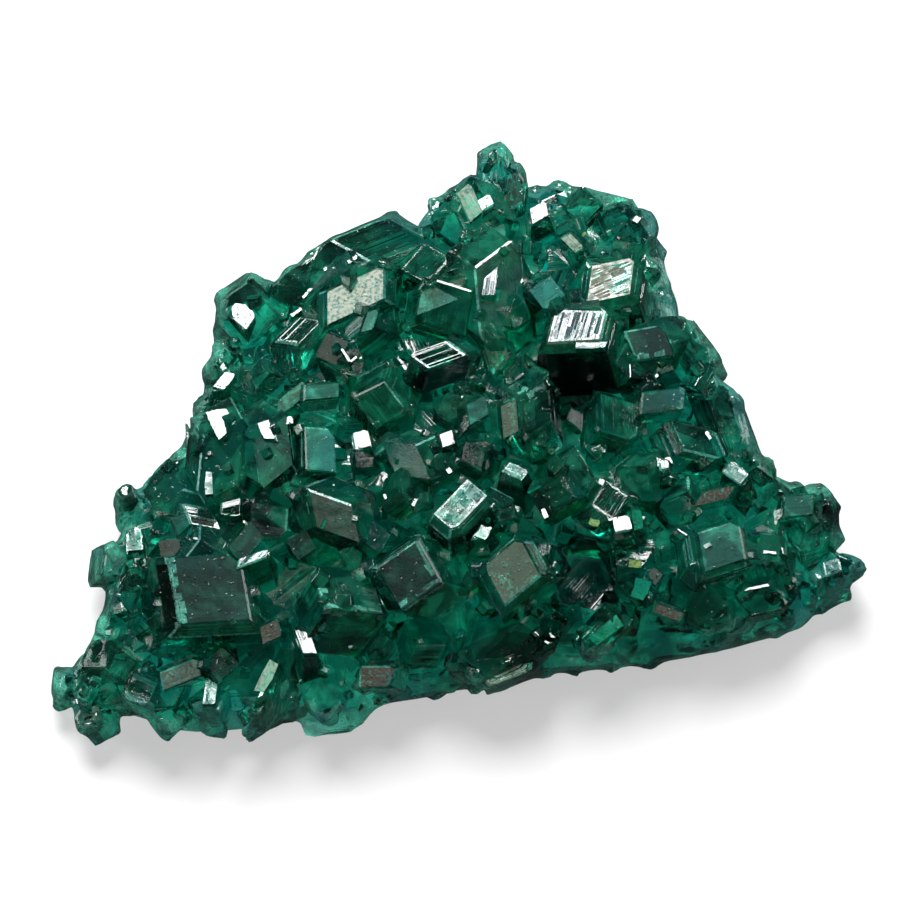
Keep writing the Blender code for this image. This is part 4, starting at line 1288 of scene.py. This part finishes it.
    def banded_edge(self, body: BMesh, x: float, up: float) -> BMEdge | None:
        """Find the folded edge that is seen nearest to a place.

        Args:
            body: The specimen.
            x: How far right the place is, in millimetres.
            up: How far up it is, in millimetres.

        Returns:
            The edge, or None where there is none near it.
        """
        best, best_away = None, self.band_reach
        for edge in body.edges:
            fold = math.degrees(edge.calc_face_angle_signed(0.0))
            if edge.calc_length() < self.band_edge or fold < self.band_fold:
                continue
            middle_x, middle_up = seen_place((edge.verts[0].co + edge.verts[1].co) / 2)
            away = math.hypot(middle_x - x, middle_up - up) - self.band_pull * edge.calc_length() / MM
            if away < best_away and max(face.normal.z for face in edge.link_faces) > self.band_facing:
                best, best_away = edge, away
        return best

    def add_bands(
        self, plates: BMesh, to: FaceLayers, body: BMesh, given: FaceLayers, clear: float
    ) -> None:
        """Add the frosted bands along both sides of the edges in the table.

        Args:
            plates: The mesh of terraces.
            to: Its layers.
            body: The specimen.
            given: The layers that hold its finishes.
            clear: How far from the edge a band begins, in metres.
        """
        growth = random.Random(self.seed)
        for name, (x, up) in FROSTED_EDGES.items():
            best = self.banded_edge(body, x, up)
            if best is None:
                log.info("no edge matches %s", name)
                continue
            start = best.verts[0].co.copy()
            along = (best.verts[1].co - start).normalized()
            for face in best.link_faces:
                inward = face.normal.cross(along)
                if inward.dot(face.calc_center_median() - start) < 0:
                    inward = -inward
                corners = [loop.vert.co.copy() for loop in face.loops]
                for piece in self.strips(corners, along, self.grain_length, growth):
                    width = growth.uniform(*self.band_width)
                    piece = self.clip(piece, start, inward, clear * growth.uniform(*self.band_start))
                    piece = self.clip(piece, start + inward * (clear + width), -inward, 0.0)
                    if len(piece) > 2 and growth.random() < self.band_share:
                        axis = Matrix.Rotation(growth.uniform(0, math.tau), 3, face.normal) @ along
                        tilt = Matrix.Rotation(math.radians(2 * self.tilt), 3, axis)
                        before = len(plates.faces)
                        self.add_plate(plates, to, face, given, piece, self.rise[0], tilt, growth)
                        plates.faces.ensure_lookup_table()
                        if len(plates.faces) > before:
                            to.share_look(plates.faces[before], Look.FROSTED)

    def build(self, plates: BMesh, to: FaceLayers, body: BMesh, given: FaceLayers) -> bpy.types.Object:
        """Build the terraces of a specimen.

        Args:
            plates: The mesh of terraces, which may hold chips and bands already.
            to: Its layers.
            body: The specimen.
            given: The layers that hold its finishes.

        Returns:
            The object that holds the terraces, each a closed block, which isn't shown.
        """
        growth = random.Random(self.seed)
        for face in body.faces:
            ridged, grainy = face[given.of["ridge"]] > RIDGED, face[given.of["grain"]] > GRAINY
            least = self.stria_area if ridged or grainy else self.least_area
            if face.calc_area() < least or face.normal.z < self.least_facing:
                continue
            middle, reach = self.middle(face, growth)
            if reach < 3 * self.sunk:
                continue
            if ridged or grainy:
                self.add_striae(plates, to, face, given, middle, reach, growth)
                continue
            rise = 0.0
            for _ in range(growth.choice((1, 2, 2))):
                least, most = self.margin
                corners = self.outline(face, middle, (least * reach, most * reach), growth)
                rise += growth.uniform(*self.rise)
                spin = Matrix.Rotation(growth.uniform(0, math.tau), 3, face.normal)
                axis = spin @ face.normal.orthogonal()
                tilt = Matrix.Rotation(math.radians(growth.uniform(0, self.tilt)), 3, axis)
                self.add_plate(plates, to, face, given, corners, rise, tilt, growth)
                reach *= self.further_in
        mesh = bpy.data.meshes.new("growth_plates")
        plates.to_mesh(mesh)
        log.info("%d faces of growth plates", len(plates.faces))
        plates.free()
        return bpy.data.objects.new("growth_plates", mesh)

    def add_striae(
        self, plates: BMesh, to: FaceLayers, face: BMFace, given: FaceLayers,
        middle: Vector, reach: float, growth: random.Random,
    ) -> None:
        """Add the strips of a striated face, or the grains of a silvery one, each with its own tilt.

        Args:
            plates: The mesh of terraces.
            to: Its layers.
            face: The face.
            given: The layers of that face.
            middle: The place the outline is drawn round.
            reach: The middle's distance from the nearest edge.
            growth: What the strips are drawn from.
        """
        across = Vector(face[given.way]).normalized()
        along = face.normal.cross(across)
        least, most = self.stria_margin
        outline = self.outline(face, middle, (least * reach, most * reach), growth)
        grainy = face[given.of["ridge"]] < RIDGED
        rights = [corner.x for corner in outline]
        bright_from = max(rights) - face[given.of["bright_end"]] * (max(rights) - min(rights))
        for strip in self.strips(outline, across, self.stria_width, growth):
            pieces = self.strips(strip, along, self.grain_length, growth) if grainy else [strip]
            if bright_from < max(rights):
                pieces = self.strips(strip, along, self.band_length, growth)
            most = self.stria_tilt if grainy or bright_from == max(rights) else self.ridge_tilt
            for piece in pieces:
                shine = growth.random()
                angle = math.radians(growth.uniform(-most, most))
                if face[given.of["dark"]] > DULLED:
                    angle = math.radians(growth.choice((-1, 1)) * growth.uniform(*self.dull_tilt))
                tilt = Matrix.Rotation(angle, 3, along)
                if grainy:
                    turn = math.radians(growth.uniform(-self.stria_tilt, self.stria_tilt))
                    tilt = Matrix.Rotation(turn, 3, across) @ tilt
                lift = abs(math.sin(angle)) * self.extent(piece, across) / 2
                if grainy:
                    lift += abs(math.sin(turn)) * self.extent(piece, along) / 2
                lift += growth.uniform(*self.rise) / 3
                before = len(plates.faces)
                self.add_plate(plates, to, face, given, piece, lift, tilt, growth)
                plates.faces.ensure_lookup_table()
                if grainy or len(plates.faces) == before:
                    continue
                upper = plates.faces[before]
                least_shine, more_shine = self.shine
                upper[to.of["haze"]] *= least_shine + more_shine * shine
                if sum(point.x for point in piece) / len(piece) > bright_from:
                    upper[to.of["haze"]] = self.bare_haze
                    upper[to.of["cover"]] *= self.bare_cover

    def join(self, host: bpy.types.Object, plates: bpy.types.Object) -> None:
        """Join the terraces with a specimen.

        Args:
            host: The specimen, whose mesh is changed.
            plates: The terraces.
        """
        graph, given = new_tree("join_plates", {"Plates": "Object"})
        held = graph.add("GeometryNodeObjectInfo", {"Object": given["Plates"]})
        island = graph.add("GeometryNodeInputMeshIsland")
        wires = {"Geometry": held.outputs["Geometry"], "Group ID": island.outputs["Island Index"]}
        apart = graph.add("GeometryNodeSplitToInstances", wires, domain="FACE")
        graph.give(graph.union(apart.outputs["Instances"], given["Geometry"]))
        apply_nodes(host, graph.tree, {"Plates": plates})


@dataclass
class RimMelt:
    """The rounding of the rim, where the crystals look melted together.

    Attributes:
        cell: The spacing of the lines that find the rim, in metres.
        reach: How far in from the rim it goes, in metres.
        longest: The longest edge in it, in metres.
        passes: How many times the long edges are halved.
        rounds: How many times the corners are moved.
        step: How far a corner goes each time, over its distance from its neighbours' middle.
        fade: How steeply the moving ends at the reach.
        kept_share: How much the named faces' corners are moved, over the others.
        foot: The height under which nothing is moved, in metres.
    """

    cell: float = 0.3 * MM
    reach: float = 1.35 * MM
    longest: float = 0.75 * MM
    passes: int = 3
    rounds: int = 7
    step: float = 0.5
    fade: float = 2.0
    kept_share: float = 0.35
    foot: float = 0.1 * MM

    def depths(self, body: BMesh) -> tuple[np.ndarray, Vector]:
        """Measure how far in from the rim each place of the plan lies.

        Args:
            body: The specimen.

        Returns:
            The distances on a square grid, in cells, and the place of the grid's first point.
        """
        surface = BVHTree.FromBMesh(body)
        places = np.array([vertex.co for vertex in body.verts])
        low, high = places.min(axis=0), places.max(axis=0)
        count = np.ceil((high - low) / self.cell).astype(int) + 3
        first = Vector((low[0] - self.cell, low[1] - self.cell, high[2] + MM))
        covered = np.zeros((count[0], count[1]), bool)
        for one in range(count[0]):
            for two in range(count[1]):
                start = first + Vector((one * self.cell, two * self.cell, 0))
                covered[one, two] = surface.ray_cast(start, Vector((0, 0, -1)))[0] is not None
        depth = np.zeros(covered.shape)
        for _ in range(math.ceil(self.reach / self.cell) + 1):
            depth += covered
            inner = covered.copy()
            inner[1:-1, 1:-1] &= covered[2:, 1:-1] & covered[:-2, 1:-1]
            inner[1:-1, 1:-1] &= covered[1:-1, 2:] & covered[1:-1, :-2]
            covered = inner
        return depth, first

    def shares(self, places: np.ndarray, depth: np.ndarray, first: Vector) -> np.ndarray:
        """Give how much each corner is moved: fully at the rim, and not at all inside its reach."""
        cells = np.rint((places[:, :2] - np.array(first[:2])) / self.cell).astype(int)
        cells = np.clip(cells, 0, np.array(depth.shape) - 1)
        inside = depth[cells[:, 0], cells[:, 1]] * self.cell / self.reach
        return np.clip(self.fade * (1 - inside), 0, 1) * (places[:, 2] > self.foot)

    def melt(self, mesh: Mesh) -> None:
        """Round the rim of a mesh.

        Args:
            mesh: The mesh.
        """
        body = bmesh.new()
        body.from_mesh(mesh)
        depth, first = self.depths(body)
        for step in range(self.passes + 1):
            body.verts.ensure_lookup_table()
            shares = self.shares(np.array([vertex.co for vertex in body.verts]), depth, first)
            for vertex, share in zip(body.verts, shares):
                vertex.tag = share > 0
            zone = [
                face for face in body.faces
                if len(face.verts) > 3 and any(vertex.tag for vertex in face.verts)
            ]
            bmesh.ops.triangulate(body, faces=zone)
            if step == self.passes:
                break
            long = [
                edge for edge in body.edges
                if (edge.verts[0].tag or edge.verts[1].tag) and edge.calc_length() > self.longest
            ]
            bmesh.ops.subdivide_edges(body, edges=long, cuts=1)
        kept_layer = body.faces.layers.float["kept"]
        kept = np.array([
            any(face[kept_layer] > MARKED for face in vertex.link_faces) for vertex in body.verts
        ])
        soft_layer = body.faces.layers.float["soft"]
        for face in body.faces:
            if face[kept_layer] < MARKED and all(vertex.tag for vertex in face.verts):
                face[soft_layer] = 1.0
        body.to_mesh(mesh)
        body.free()
        places = np.empty(len(mesh.vertices) * 3)
        mesh.vertices.foreach_get("co", places)
        places = places.reshape(-1, 3)
        shares = self.shares(places, depth, first) * np.where(kept, self.kept_share, 1.0)
        ends = np.empty(len(mesh.edges) * 2, np.int32)
        mesh.edges.foreach_get("vertices", ends)
        one, two = ends.reshape(-1, 2).T
        count = len(places)
        around = np.maximum(np.bincount(one, minlength=count) + np.bincount(two, minlength=count), 1)
        for _ in range(self.rounds):
            for axis in range(3):
                line = places[:, axis]
                total = np.bincount(one, line[two], count) + np.bincount(two, line[one], count)
                places[:, axis] = line + self.step * shares * (total / around - line)
        mesh.vertices.foreach_set("co", places.ravel())
        mesh.update()
        log.info("melted the rim: %d faces", len(mesh.polygons))


@dataclass
class Specimen:
    """The whole specimen, as one closed piece.

    Attributes:
        slack: The largest angle within one flat face, in radians.
        edge_width: The width of a rounded edge, in metres.
        edge_fold: The least angle of an edge that is rounded, in degrees.
        edge_corner: The least corner angle beside an edge that is rounded, in degrees.
        edge_length: The least length of an edge that is rounded, over that width.
        edge_beside: The least length of the edges beside it, over that width.
        edge_stray: How far a corner may move when edges are rounded, over that width.
        foot_level: The height under which no edge is rounded and the underside lies, in metres.
        foot_facing: The most upward part of the normal of a broken face of the underside.
        match_reach: How far a named face may lie from its place in the table, in millimetres.
        match_turn: How far a named face may turn from its way in the table, in degrees.
        dull_turn: How far a plain face may turn from BRIGHT and still be dulled, in degrees.
        dull_area: The least area of a plain face that is dulled, in square metres.
        large_area: The least area of a plain face that is large, in square metres.
        large_looks: The finishes of the large plain faces, each with the draws it ends at.
        small_looks: The finishes of the small plain faces, each with the draws it ends at.
        smooth_crust: The angles between the crust's faces, in degrees.
        crust_edge: The least length of an edge between the crust's faces, in metres.
        cleft_fold: The inward fold of an edge that is a full cleft, in degrees.
        plain_area: The least area of a plain face that small crystals grow on, in square metres.
        plain_share: How much of the crust's small crystals grow on such a face.
        cleft_share: How much of them grow along a full cleft.
        beside_share: How much of them grow beside a named face.
        low_share: How many glints there are low down, over those high up.
        low_level: The height under which it is low down, in metres.
        rim_levels: The lowest and the highest place of the rim's crystals, in metres.
        rim_facings: The least and the most upward part of the normal of a face they grow on.
        top_facing: The least upward part of the normal of a face that the other kinds grow on.
        seed: What fixes the random choices.
        shadow_edge: How steeply a shadow of the table sets in.
        rim_film: The colour of the cloudy rim.
        rim_cover: How much that colour covers there.
        rim_cloud: How cloudy the rim is, from 0 to 1.
        rim_haze: What is added to the roughness of the rim.
        plates: The growth plates.
        rim: The rounding of the rim.
        small: The kinds of small crystals.
    """

    slack: float = math.radians(0.7)
    edge_width: float = 0.1 * MM
    edge_fold: float = 24.0
    edge_corner: float = 24.0
    edge_length: float = 5.0
    edge_beside: float = 3.0
    edge_stray: float = 1.5
    foot_level: float = 0.3 * MM
    foot_facing: float = -0.9
    match_reach: float = 1.6
    match_turn: float = 4.0
    dull_turn: float = 14.0
    dull_area: float = 0.4 * MM * MM
    large_area: float = 1.2 * MM * MM
    large_looks: tuple[tuple[float, Look], ...] = (
        (0.45, Look.GLASSY), (0.68, Look.VEILED), (0.86, Look.STRIATED), (1.0, Look.ETCHED),
    )
    small_looks: tuple[tuple[float, Look], ...] = (
        (0.6, Look.GLASSY), (0.8, Look.VEILED), (0.9, Look.STRIATED), (1.0, Look.ETCHED),
    )
    smooth_crust: tuple[float, float] = (0.4, 13.0)
    crust_edge: float = 0.6 * MM
    cleft_fold: float = 60.0
    plain_area: float = 1.6 * MM * MM
    plain_share: float = 0.5
    cleft_share: float = 0.3
    beside_share: float = 0.25
    low_share: float = 0.3
    low_level: float = 2.0 * MM
    rim_levels: tuple[float, float] = (0.4 * MM, 4.5 * MM)
    rim_facings: tuple[float, float] = (-0.2, 0.8)
    top_facing: float = 0.25
    seed: int = 23
    shadow_edge: float = 1.3
    rim_film: tuple[float, float, float, float] = (0.005, 0.09, 0.045, 1.0)
    rim_cover: float = 0.7
    rim_cloud: float = 0.6
    rim_haze: float = 0.12
    plates: GrowthPlates = field(default_factory=GrowthPlates)
    rim: RimMelt = field(default_factory=RimMelt)
    small: tuple[SmallCrystals, ...] = (
        SmallCrystals(
            "rim_crystals", "rim_room", spacing=1.0 * MM, crowding=2.2e6, smallest=0.55, largest=1.15,
            lean=20.0, half_width=0.85 * MM, length=(0.95, 1.2), rounding=0.42, sunk=0.5, soft=True, seed=5,
        ),
        SmallCrystals(
            "medium_crystals", "medium_room", spacing=1.9 * MM, crowding=4e5, smallest=0.6, largest=1.15,
            lean=30.0, half_width=1.1 * MM, length=(1.0, 1.4), rounding=0.1, sunk=0.3, seed=11,
        ),
        SmallCrystals(),
        SmallCrystals(
            "glints", "glint_room", spacing=0.8 * MM, crowding=1.3e5, smallest=0.45, largest=1.3, lean=16.0,
            half_width=0.17 * MM, length=(1.2, 2.2), rounding=0.04, sunk=0.0, flash=True, seed=3,
        ),
    )

    def host(self) -> BMesh:
        """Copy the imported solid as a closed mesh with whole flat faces.

        Returns:
            The copy.
        """
        body = bmesh.new()
        body.from_mesh(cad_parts[NODE].data)
        bmesh.ops.remove_doubles(body, verts=body.verts, dist=1e-7)
        for layer in list(body.loops.layers.uv):
            body.loops.layers.uv.remove(layer)
        bmesh.ops.dissolve_limit(
            body, angle_limit=math.radians(0.2), use_dissolve_boundaries=False, verts=body.verts,
            edges=body.edges,
        )
        return body

    def named(self, faces: list[FlatFace]) -> dict[int, NamedFace]:
        """Find the faces of the table among the flat faces.

        Args:
            faces: The flat faces.

        Returns:
            The named face for the number of each flat face that is one.
        """
        found: dict[int, NamedFace] = {}
        least = math.cos(math.radians(self.match_turn))
        for one in NAMED_FACES:
            normal = direction(*one.way)
            best, best_score = None, 0.0
            for number, face in enumerate(faces):
                if face.normal.dot(normal) < least or number in found:
                    continue
                x, up = seen_place(face.middle)
                away = math.hypot(x - one.x, up - one.up)
                score = face.area / (MM * MM) / (0.5 + away * away)
                if away < self.match_reach and score > best_score:
                    best, best_score = number, score
            if best is None:
                log.info("no face matches %s", one.name)
            else:
                found[best] = one
        return found

    def dress(self, body: BMesh) -> tuple[FaceLayers, set[BMFace]]:
        """Give each flat face its finish.

        Args:
            body: The specimen.

        Returns:
            The layers that hold the finishes, and the mesh faces of the named faces.
        """
        faces = flat_faces(body, self.slack)
        named = self.named(faces)
        layers = FaceLayers(body)
        body.faces.ensure_lookup_table()
        growth = random.Random(self.seed)
        kept_clear = set()
        for number, face in enumerate(faces):
            look = named[number].look if number in named else self.common_look(face, growth)
            tone = growth.random()
            line = face.grain_line
            if number in named and named[number].line is not None:
                bearing = math.radians(named[number].line)
                line = Vector((math.cos(bearing), math.sin(bearing), 0))
            across = face.normal.cross(line).normalized()
            for index in face.faces:
                layers.dress(body.faces[index], look, tone, across)
                if number in named:
                    body.faces[index][layers.of["kept"]] = 1.0
                    kept_clear.add(body.faces[index])
        log.info("%d flat faces, %d of them named", len(faces), len(named))
        return layers, kept_clear

    def common_look(self, face: FlatFace, growth: random.Random) -> Look:
        """Choose the finish of a face that isn't named.

        Args:
            face: The face.
            growth: What the choice is drawn from.

        Returns:
            The finish.
        """
        draw = growth.random()
        if face.normal.z < self.foot_facing and face.middle.z < self.foot_level:
            return Look.BROKEN
        away = math.degrees(face.normal.angle(direction(*BRIGHT)))
        if away < self.dull_turn and face.area > self.dull_area:
            return Look.DULL
        choices = self.large_looks if face.area > self.large_area else self.small_looks
        return next(look for most, look in choices if draw <= most)

    def mark_room(self, body: BMesh, kept_clear: set[BMFace]) -> None:
        """Mark where small crystals may grow: on the crust and along the clefts, and round the rim.

        Args:
            body: The specimen, which gets corner layers.
            kept_clear: The faces that stay bare.
        """
        low, high = self.smooth_crust
        cleft = {vertex: 0.0 for vertex in body.verts}
        crust = set()
        for edge in body.edges:
            if len(edge.link_faces) != 2:
                continue
            fold = math.degrees(edge.calc_face_angle_signed(0.0))
            for vertex in edge.verts:
                cleft[vertex] = max(cleft[vertex], min(1.0, max(0.0, -fold / self.cleft_fold)))
            if low < abs(fold) < high and edge.calc_length() > self.crust_edge:
                crust.update(edge.link_faces)
        rooms = {kind.room: body.loops.layers.float.new(kind.room) for kind in self.small}
        beside = {vertex for face in kept_clear for vertex in face.verts}
        least_level, most_level = self.rim_levels
        least_facing, most_facing = self.rim_facings
        for face in body.faces:
            flat = face.normal.z
            plain = 1.0 if face in crust else self.plain_share if face.calc_area() > self.plain_area else 0.0
            for loop in face.loops:
                level = loop.vert.co.z
                if face in kept_clear or level < least_level or flat < least_facing:
                    continue
                tight = self.beside_share if loop.vert in beside else 1.0
                crevice = cleft[loop.vert]
                if flat > self.top_facing:
                    loop[rooms["crust_room"]] = tight * max(plain, self.cleft_share * crevice)
                    loop[rooms["medium_room"]] = tight if face in crust else 0.0
                    loop[rooms["glint_room"]] = tight * (1.0 if level > self.low_level else self.low_share)
                if flat < most_facing and least_level < level < most_level:
                    loop[rooms["rim_room"]] = tight
        log.info("crust faces %d, kept clear %d", len(crust), len(kept_clear))

    def round_edges(self, body: BMesh, layers: FaceLayers) -> None:
        """Round the outward edges of the larger crystals, which are frosted.

        Args:
            body: The specimen.
            layers: The layers that hold the finishes.
        """
        width = self.edge_width
        growth = random.Random(self.seed)
        before = BVHTree.FromBMesh(body)
        edges = [edge for edge in body.edges if self.can_round(edge)]
        rounded = bmesh.ops.bevel(
            body, geom=edges, offset=width, segments=1, profile=0.5, affect="EDGES", clamp_overlap=False
        )
        for face in rounded["faces"]:
            layers.share_look(face, growth.choice((Look.FROSTED, Look.VEILED, Look.GLASSY)))
        most = self.edge_stray * width
        stray = {vertex for vertex in body.verts if before.find_nearest(vertex.co)[3] > most}
        for vertex in stray:
            beside = [edge.other_vert(vertex) for edge in vertex.link_edges]
            near = [other.co for other in beside if other not in stray]
            if near:
                vertex.co = sum(near, Vector()) / len(near)
        body.normal_update()
        log.info("rounded %d edges, %d corners put back", len(edges), len(stray))

    def can_round(self, edge: BMEdge) -> bool:
        """Say whether an edge is sharp, long and open enough to be rounded."""
        width = self.edge_width
        if math.degrees(edge.calc_face_angle_signed(0.0)) < self.edge_fold:
            return False
        if edge.calc_length() < self.edge_length * width:
            return False
        if min(vertex.co.z for vertex in edge.verts) < self.foot_level:
            return False
        around = [other.calc_length() for vertex in edge.verts for other in vertex.link_edges]
        corners = [loop.calc_angle() for vertex in edge.verts for loop in vertex.link_loops]
        return min(around) > self.edge_beside * width and math.degrees(min(corners)) > self.edge_corner

    def shade(self, mesh: Mesh) -> None:
        """Cloud the rounded rim, and paint shade, a darkened green, on the faces in the shadows of the
        table.

        Args:
            mesh: The specimen's mesh, whose finishes are changed.
        """
        count = len(mesh.polygons)
        middles = np.empty(count * 3)
        mesh.polygons.foreach_get("center", middles)
        place = middles.reshape(-1, 3) / MM - np.array(PART_SHIFT)
        up = place[:, 1] * math.cos(VIEW_LEAN) + place[:, 2] * math.sin(VIEW_LEAN)
        # Painted shade: the share of light that is left on each face under the shadows of the table
        light = np.ones(count)
        for shadow in SHADOWS:
            away = np.hypot(place[:, 0] - shadow.x, up - shadow.up) / shadow.reach
            near = np.clip(self.shadow_edge * (1 - away), 0, 1)
            light *= 1 - shadow.depth * near * near * (3 - 2 * near)
        values = {name: face_numbers(mesh, name) for name in ("kept", "cover", "dark", "soft", "haze")}
        bare = values["kept"] < MARKED
        # The painted shade of each bare face takes away its film and haze and darkens its green
        deep = (1 - light) * bare
        cloudy = self.rim_cloud * (values["soft"] > MARKED) * bare * light
        film = np.empty(count * 4, np.float32)
        mesh.attributes["film"].data.foreach_get("color", film)
        film = film.reshape(-1, 4) * (1 - cloudy[:, None]) + np.array(self.rim_film) * cloudy[:, None]
        mesh.attributes["film"].data.foreach_set("color", film.ravel().astype(np.float32))
        values["cover"] = (values["cover"] + (self.rim_cover - values["cover"]) * cloudy) * (1 - deep)
        values["haze"] = (values["haze"] + (self.rim_haze - values["haze"]) * cloudy) * (1 - deep)
        values["dark"] += (1 - values["dark"]) * (1 - (1 - deep) ** 2)
        for name in ("cover", "haze", "dark"):
            mesh.attributes[name].data.foreach_set("value", values[name].astype(np.float32))

    def build(self, material: Material) -> bpy.types.Object:
        """Build the specimen.

        Args:
            material: What it is made of.

        Returns:
            The piece.
        """
        body = self.host()
        layers, kept_clear = self.dress(body)
        self.mark_room(body, kept_clear)
        blocks = bmesh.new()
        block_layers = FaceLayers(blocks)
        self.plates.add_chips(blocks, block_layers, body)
        self.plates.add_bands(blocks, block_layers, body, layers, self.edge_width)
        self.round_edges(body, layers)
        plates = self.plates.build(blocks, block_layers, body, layers)
        mesh = bpy.data.meshes.new("dioptase_specimen")
        body.to_mesh(mesh)
        body.free()
        piece = bpy.data.objects.new("dioptase_specimen", mesh)
        bpy.context.scene.collection.objects.link(piece)
        self.plates.join(piece, plates)
        for kind in self.small:
            kind.sow(piece, material)
        cut_level(piece)
        mesh = piece.data
        self.rim.melt(mesh)
        self.shade(mesh)
        mesh.polygons.foreach_set("use_smooth", face_numbers(mesh, "soft") > MARKED)
        for name in ("soft", "kept", "bright_end", "custom_normal", *(kind.room for kind in self.small)):
            if name in mesh.attributes:
                mesh.attributes.remove(mesh.attributes[name])
        mesh.name = piece.name
        mesh.materials.clear()
        mesh.materials.append(material)
        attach(piece, BODY)
        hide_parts(NODE)
        return piece


@dataclass(frozen=True)
class SoftLight:
    """A round soft light, given by how it looks from the specimen.

    Attributes:
        name: The light's name.
        way: The direction of it from the specimen.
        radiance: How bright its face is.
        half_angle: Half its width as seen from the specimen, in degrees.
        colour: Its colour.
    """

    name: str
    way: tuple[float, float, float]
    radiance: float
    half_angle: float
    colour: tuple[float, float, float] = (1.0, 1.0, 1.0)

    def place(self, away: float) -> None:
        """Put the light in the scene.

        Args:
            away: How far it is from the specimen, in metres.
        """
        radius = away * math.tan(math.radians(self.half_angle))
        data = bpy.data.lights.new(self.name, "AREA")
        data.shape = "DISK"
        data.size = 2 * radius
        data.energy = self.radiance * math.pi * math.pi * radius * radius
        data.color = self.colour
        light = bpy.data.objects.new(self.name, data)
        way = Vector(self.way).normalized()
        turn = way.to_track_quat("Z", "Y").to_matrix()
        light.matrix_world = Matrix.Translation(way * away) @ turn.to_4x4()
        bpy.context.scene.collection.objects.link(light)


@dataclass
class Studio:
    """The floor, the lights and the camera.

    Attributes:
        away: How far the lights are from the specimen, in metres.
        floor_size: The floor's side, in metres.
        floor_colour: The floor's colour.
        floor_roughness: The floor's roughness.
        floor_glow: How much the floor is lit from inside.
        surround: How bright everything else is.
        lights: The soft lights.
        camera_away: How far the camera is from the specimen, in metres.
        picture_width: The width of the picture at the specimen, in metres.
        aim: The place in the tables at the picture's middle, in millimetres.
        aim_level: The height at which the picture's width is true, in millimetres.
        bounces: How many surfaces light may pass through in the crystals.
    """

    away: float = 0.6
    floor_size: float = 2.4
    floor_colour: tuple[float, float, float, float] = (0.45, 0.45, 0.45, 1.0)
    floor_roughness: float = 0.9
    floor_glow: float = 0.5
    surround: float = 0.03
    lights: tuple[SoftLight, ...] = (
        SoftLight("key_softbox", (-0.118, 0.570, 0.813), 22.0, 17.0),
        SoftLight("warm_card", (-0.165, -0.245, 0.955), 1.0, 9.0, (1.0, 0.92, 0.8)),
        SoftLight("grey_card", (0.352, 0.004, 0.936), 0.42, 9.0, (0.86, 0.95, 1.0)),
        SoftLight("left_strip", (-0.9, 0.15, 0.42), 4.0, 14.0),
        SoftLight("right_strip", (0.85, 0.3, 0.42), 3.0, 14.0),
    )
    camera_away: float = 1.2
    picture_width: float = 0.060
    aim: tuple[float, float] = (-0.5, -0.6)
    aim_level: float = 5.5
    bounces: int = 6

    def build_floor(self) -> None:
        """Lay the plain pale floor, which the crystals don't mirror."""
        mesh = bpy.data.meshes.new("pale_floor")
        half = self.floor_size / 2
        corners = [(-half, -half, 0), (half, -half, 0), (half, half, 0), (-half, half, 0)]
        mesh.from_pydata(corners, [], [(0, 1, 2, 3)])
        material = bpy.data.materials.new("pale_floor")
        material.use_nodes = True
        shader = material.node_tree.nodes["Principled BSDF"]
        values = {
            "Base Color": self.floor_colour,
            "Roughness": self.floor_roughness,
            "Specular IOR Level": 0.0,
            "Emission Color": (1.0, 1.0, 1.0, 1.0),
            "Emission Strength": self.floor_glow,
        }
        for name, value in values.items():
            shader.inputs[name].default_value = value
        mesh.materials.append(material)
        floor = bpy.data.objects.new("pale_floor", mesh)
        bpy.context.scene.collection.objects.link(floor)
        floor.visible_glossy = False

    def build_camera(self) -> None:
        """Set up the camera at the photograph's viewing angle."""
        data = bpy.data.cameras.new("camera")
        data.sensor_width = 36.0
        data.lens = data.sensor_width * self.camera_away / self.picture_width
        data.clip_start = 0.01
        camera = bpy.data.objects.new("camera", data)
        level = self.aim_level
        plan = (self.aim[1] - level * math.sin(VIEW_LEAN)) / math.cos(VIEW_LEAN)
        target = (Vector((self.aim[0], plan, level)) + PART_SHIFT) * MM
        turn = Matrix((UPWARD.cross(TO_EYE), UPWARD, TO_EYE)).transposed()
        camera.matrix_world = Matrix.Translation(target + TO_EYE * self.camera_away) @ turn.to_4x4()
        bpy.context.scene.collection.objects.link(camera)
        bpy.context.scene.camera = camera

    def build(self) -> None:
        """Build the floor, the surroundings, the lights and the camera."""
        self.build_floor()
        world = bpy.data.worlds.new("dim_studio")
        world.use_nodes = True
        shade = world.node_tree.nodes["Background"]
        shade.inputs["Color"].default_value = (1.0, 1.0, 1.0, 1.0)
        shade.inputs["Strength"].default_value = self.surround
        bpy.context.scene.world = world
        for light in self.lights:
            light.place(self.away)
        self.build_camera()
        bpy.context.scene.view_settings.view_transform = "Standard"
        bpy.context.scene.cycles.transmission_bounces = self.bounces


def main() -> None:
    """Build the specimen and its studio, and report each piece."""
    logging.basicConfig(level=logging.INFO, format="%(name)s %(relativeCreated)6.0f ms: %(message)s")
    material = CrystalGreen().make()
    piece = Specimen().build(material)
    log.info("%s has %d faces", piece.name, len(piece.data.polygons))
    Studio().build()
    log.info("studio is ready")


if __name__ == "__main__":
    main()
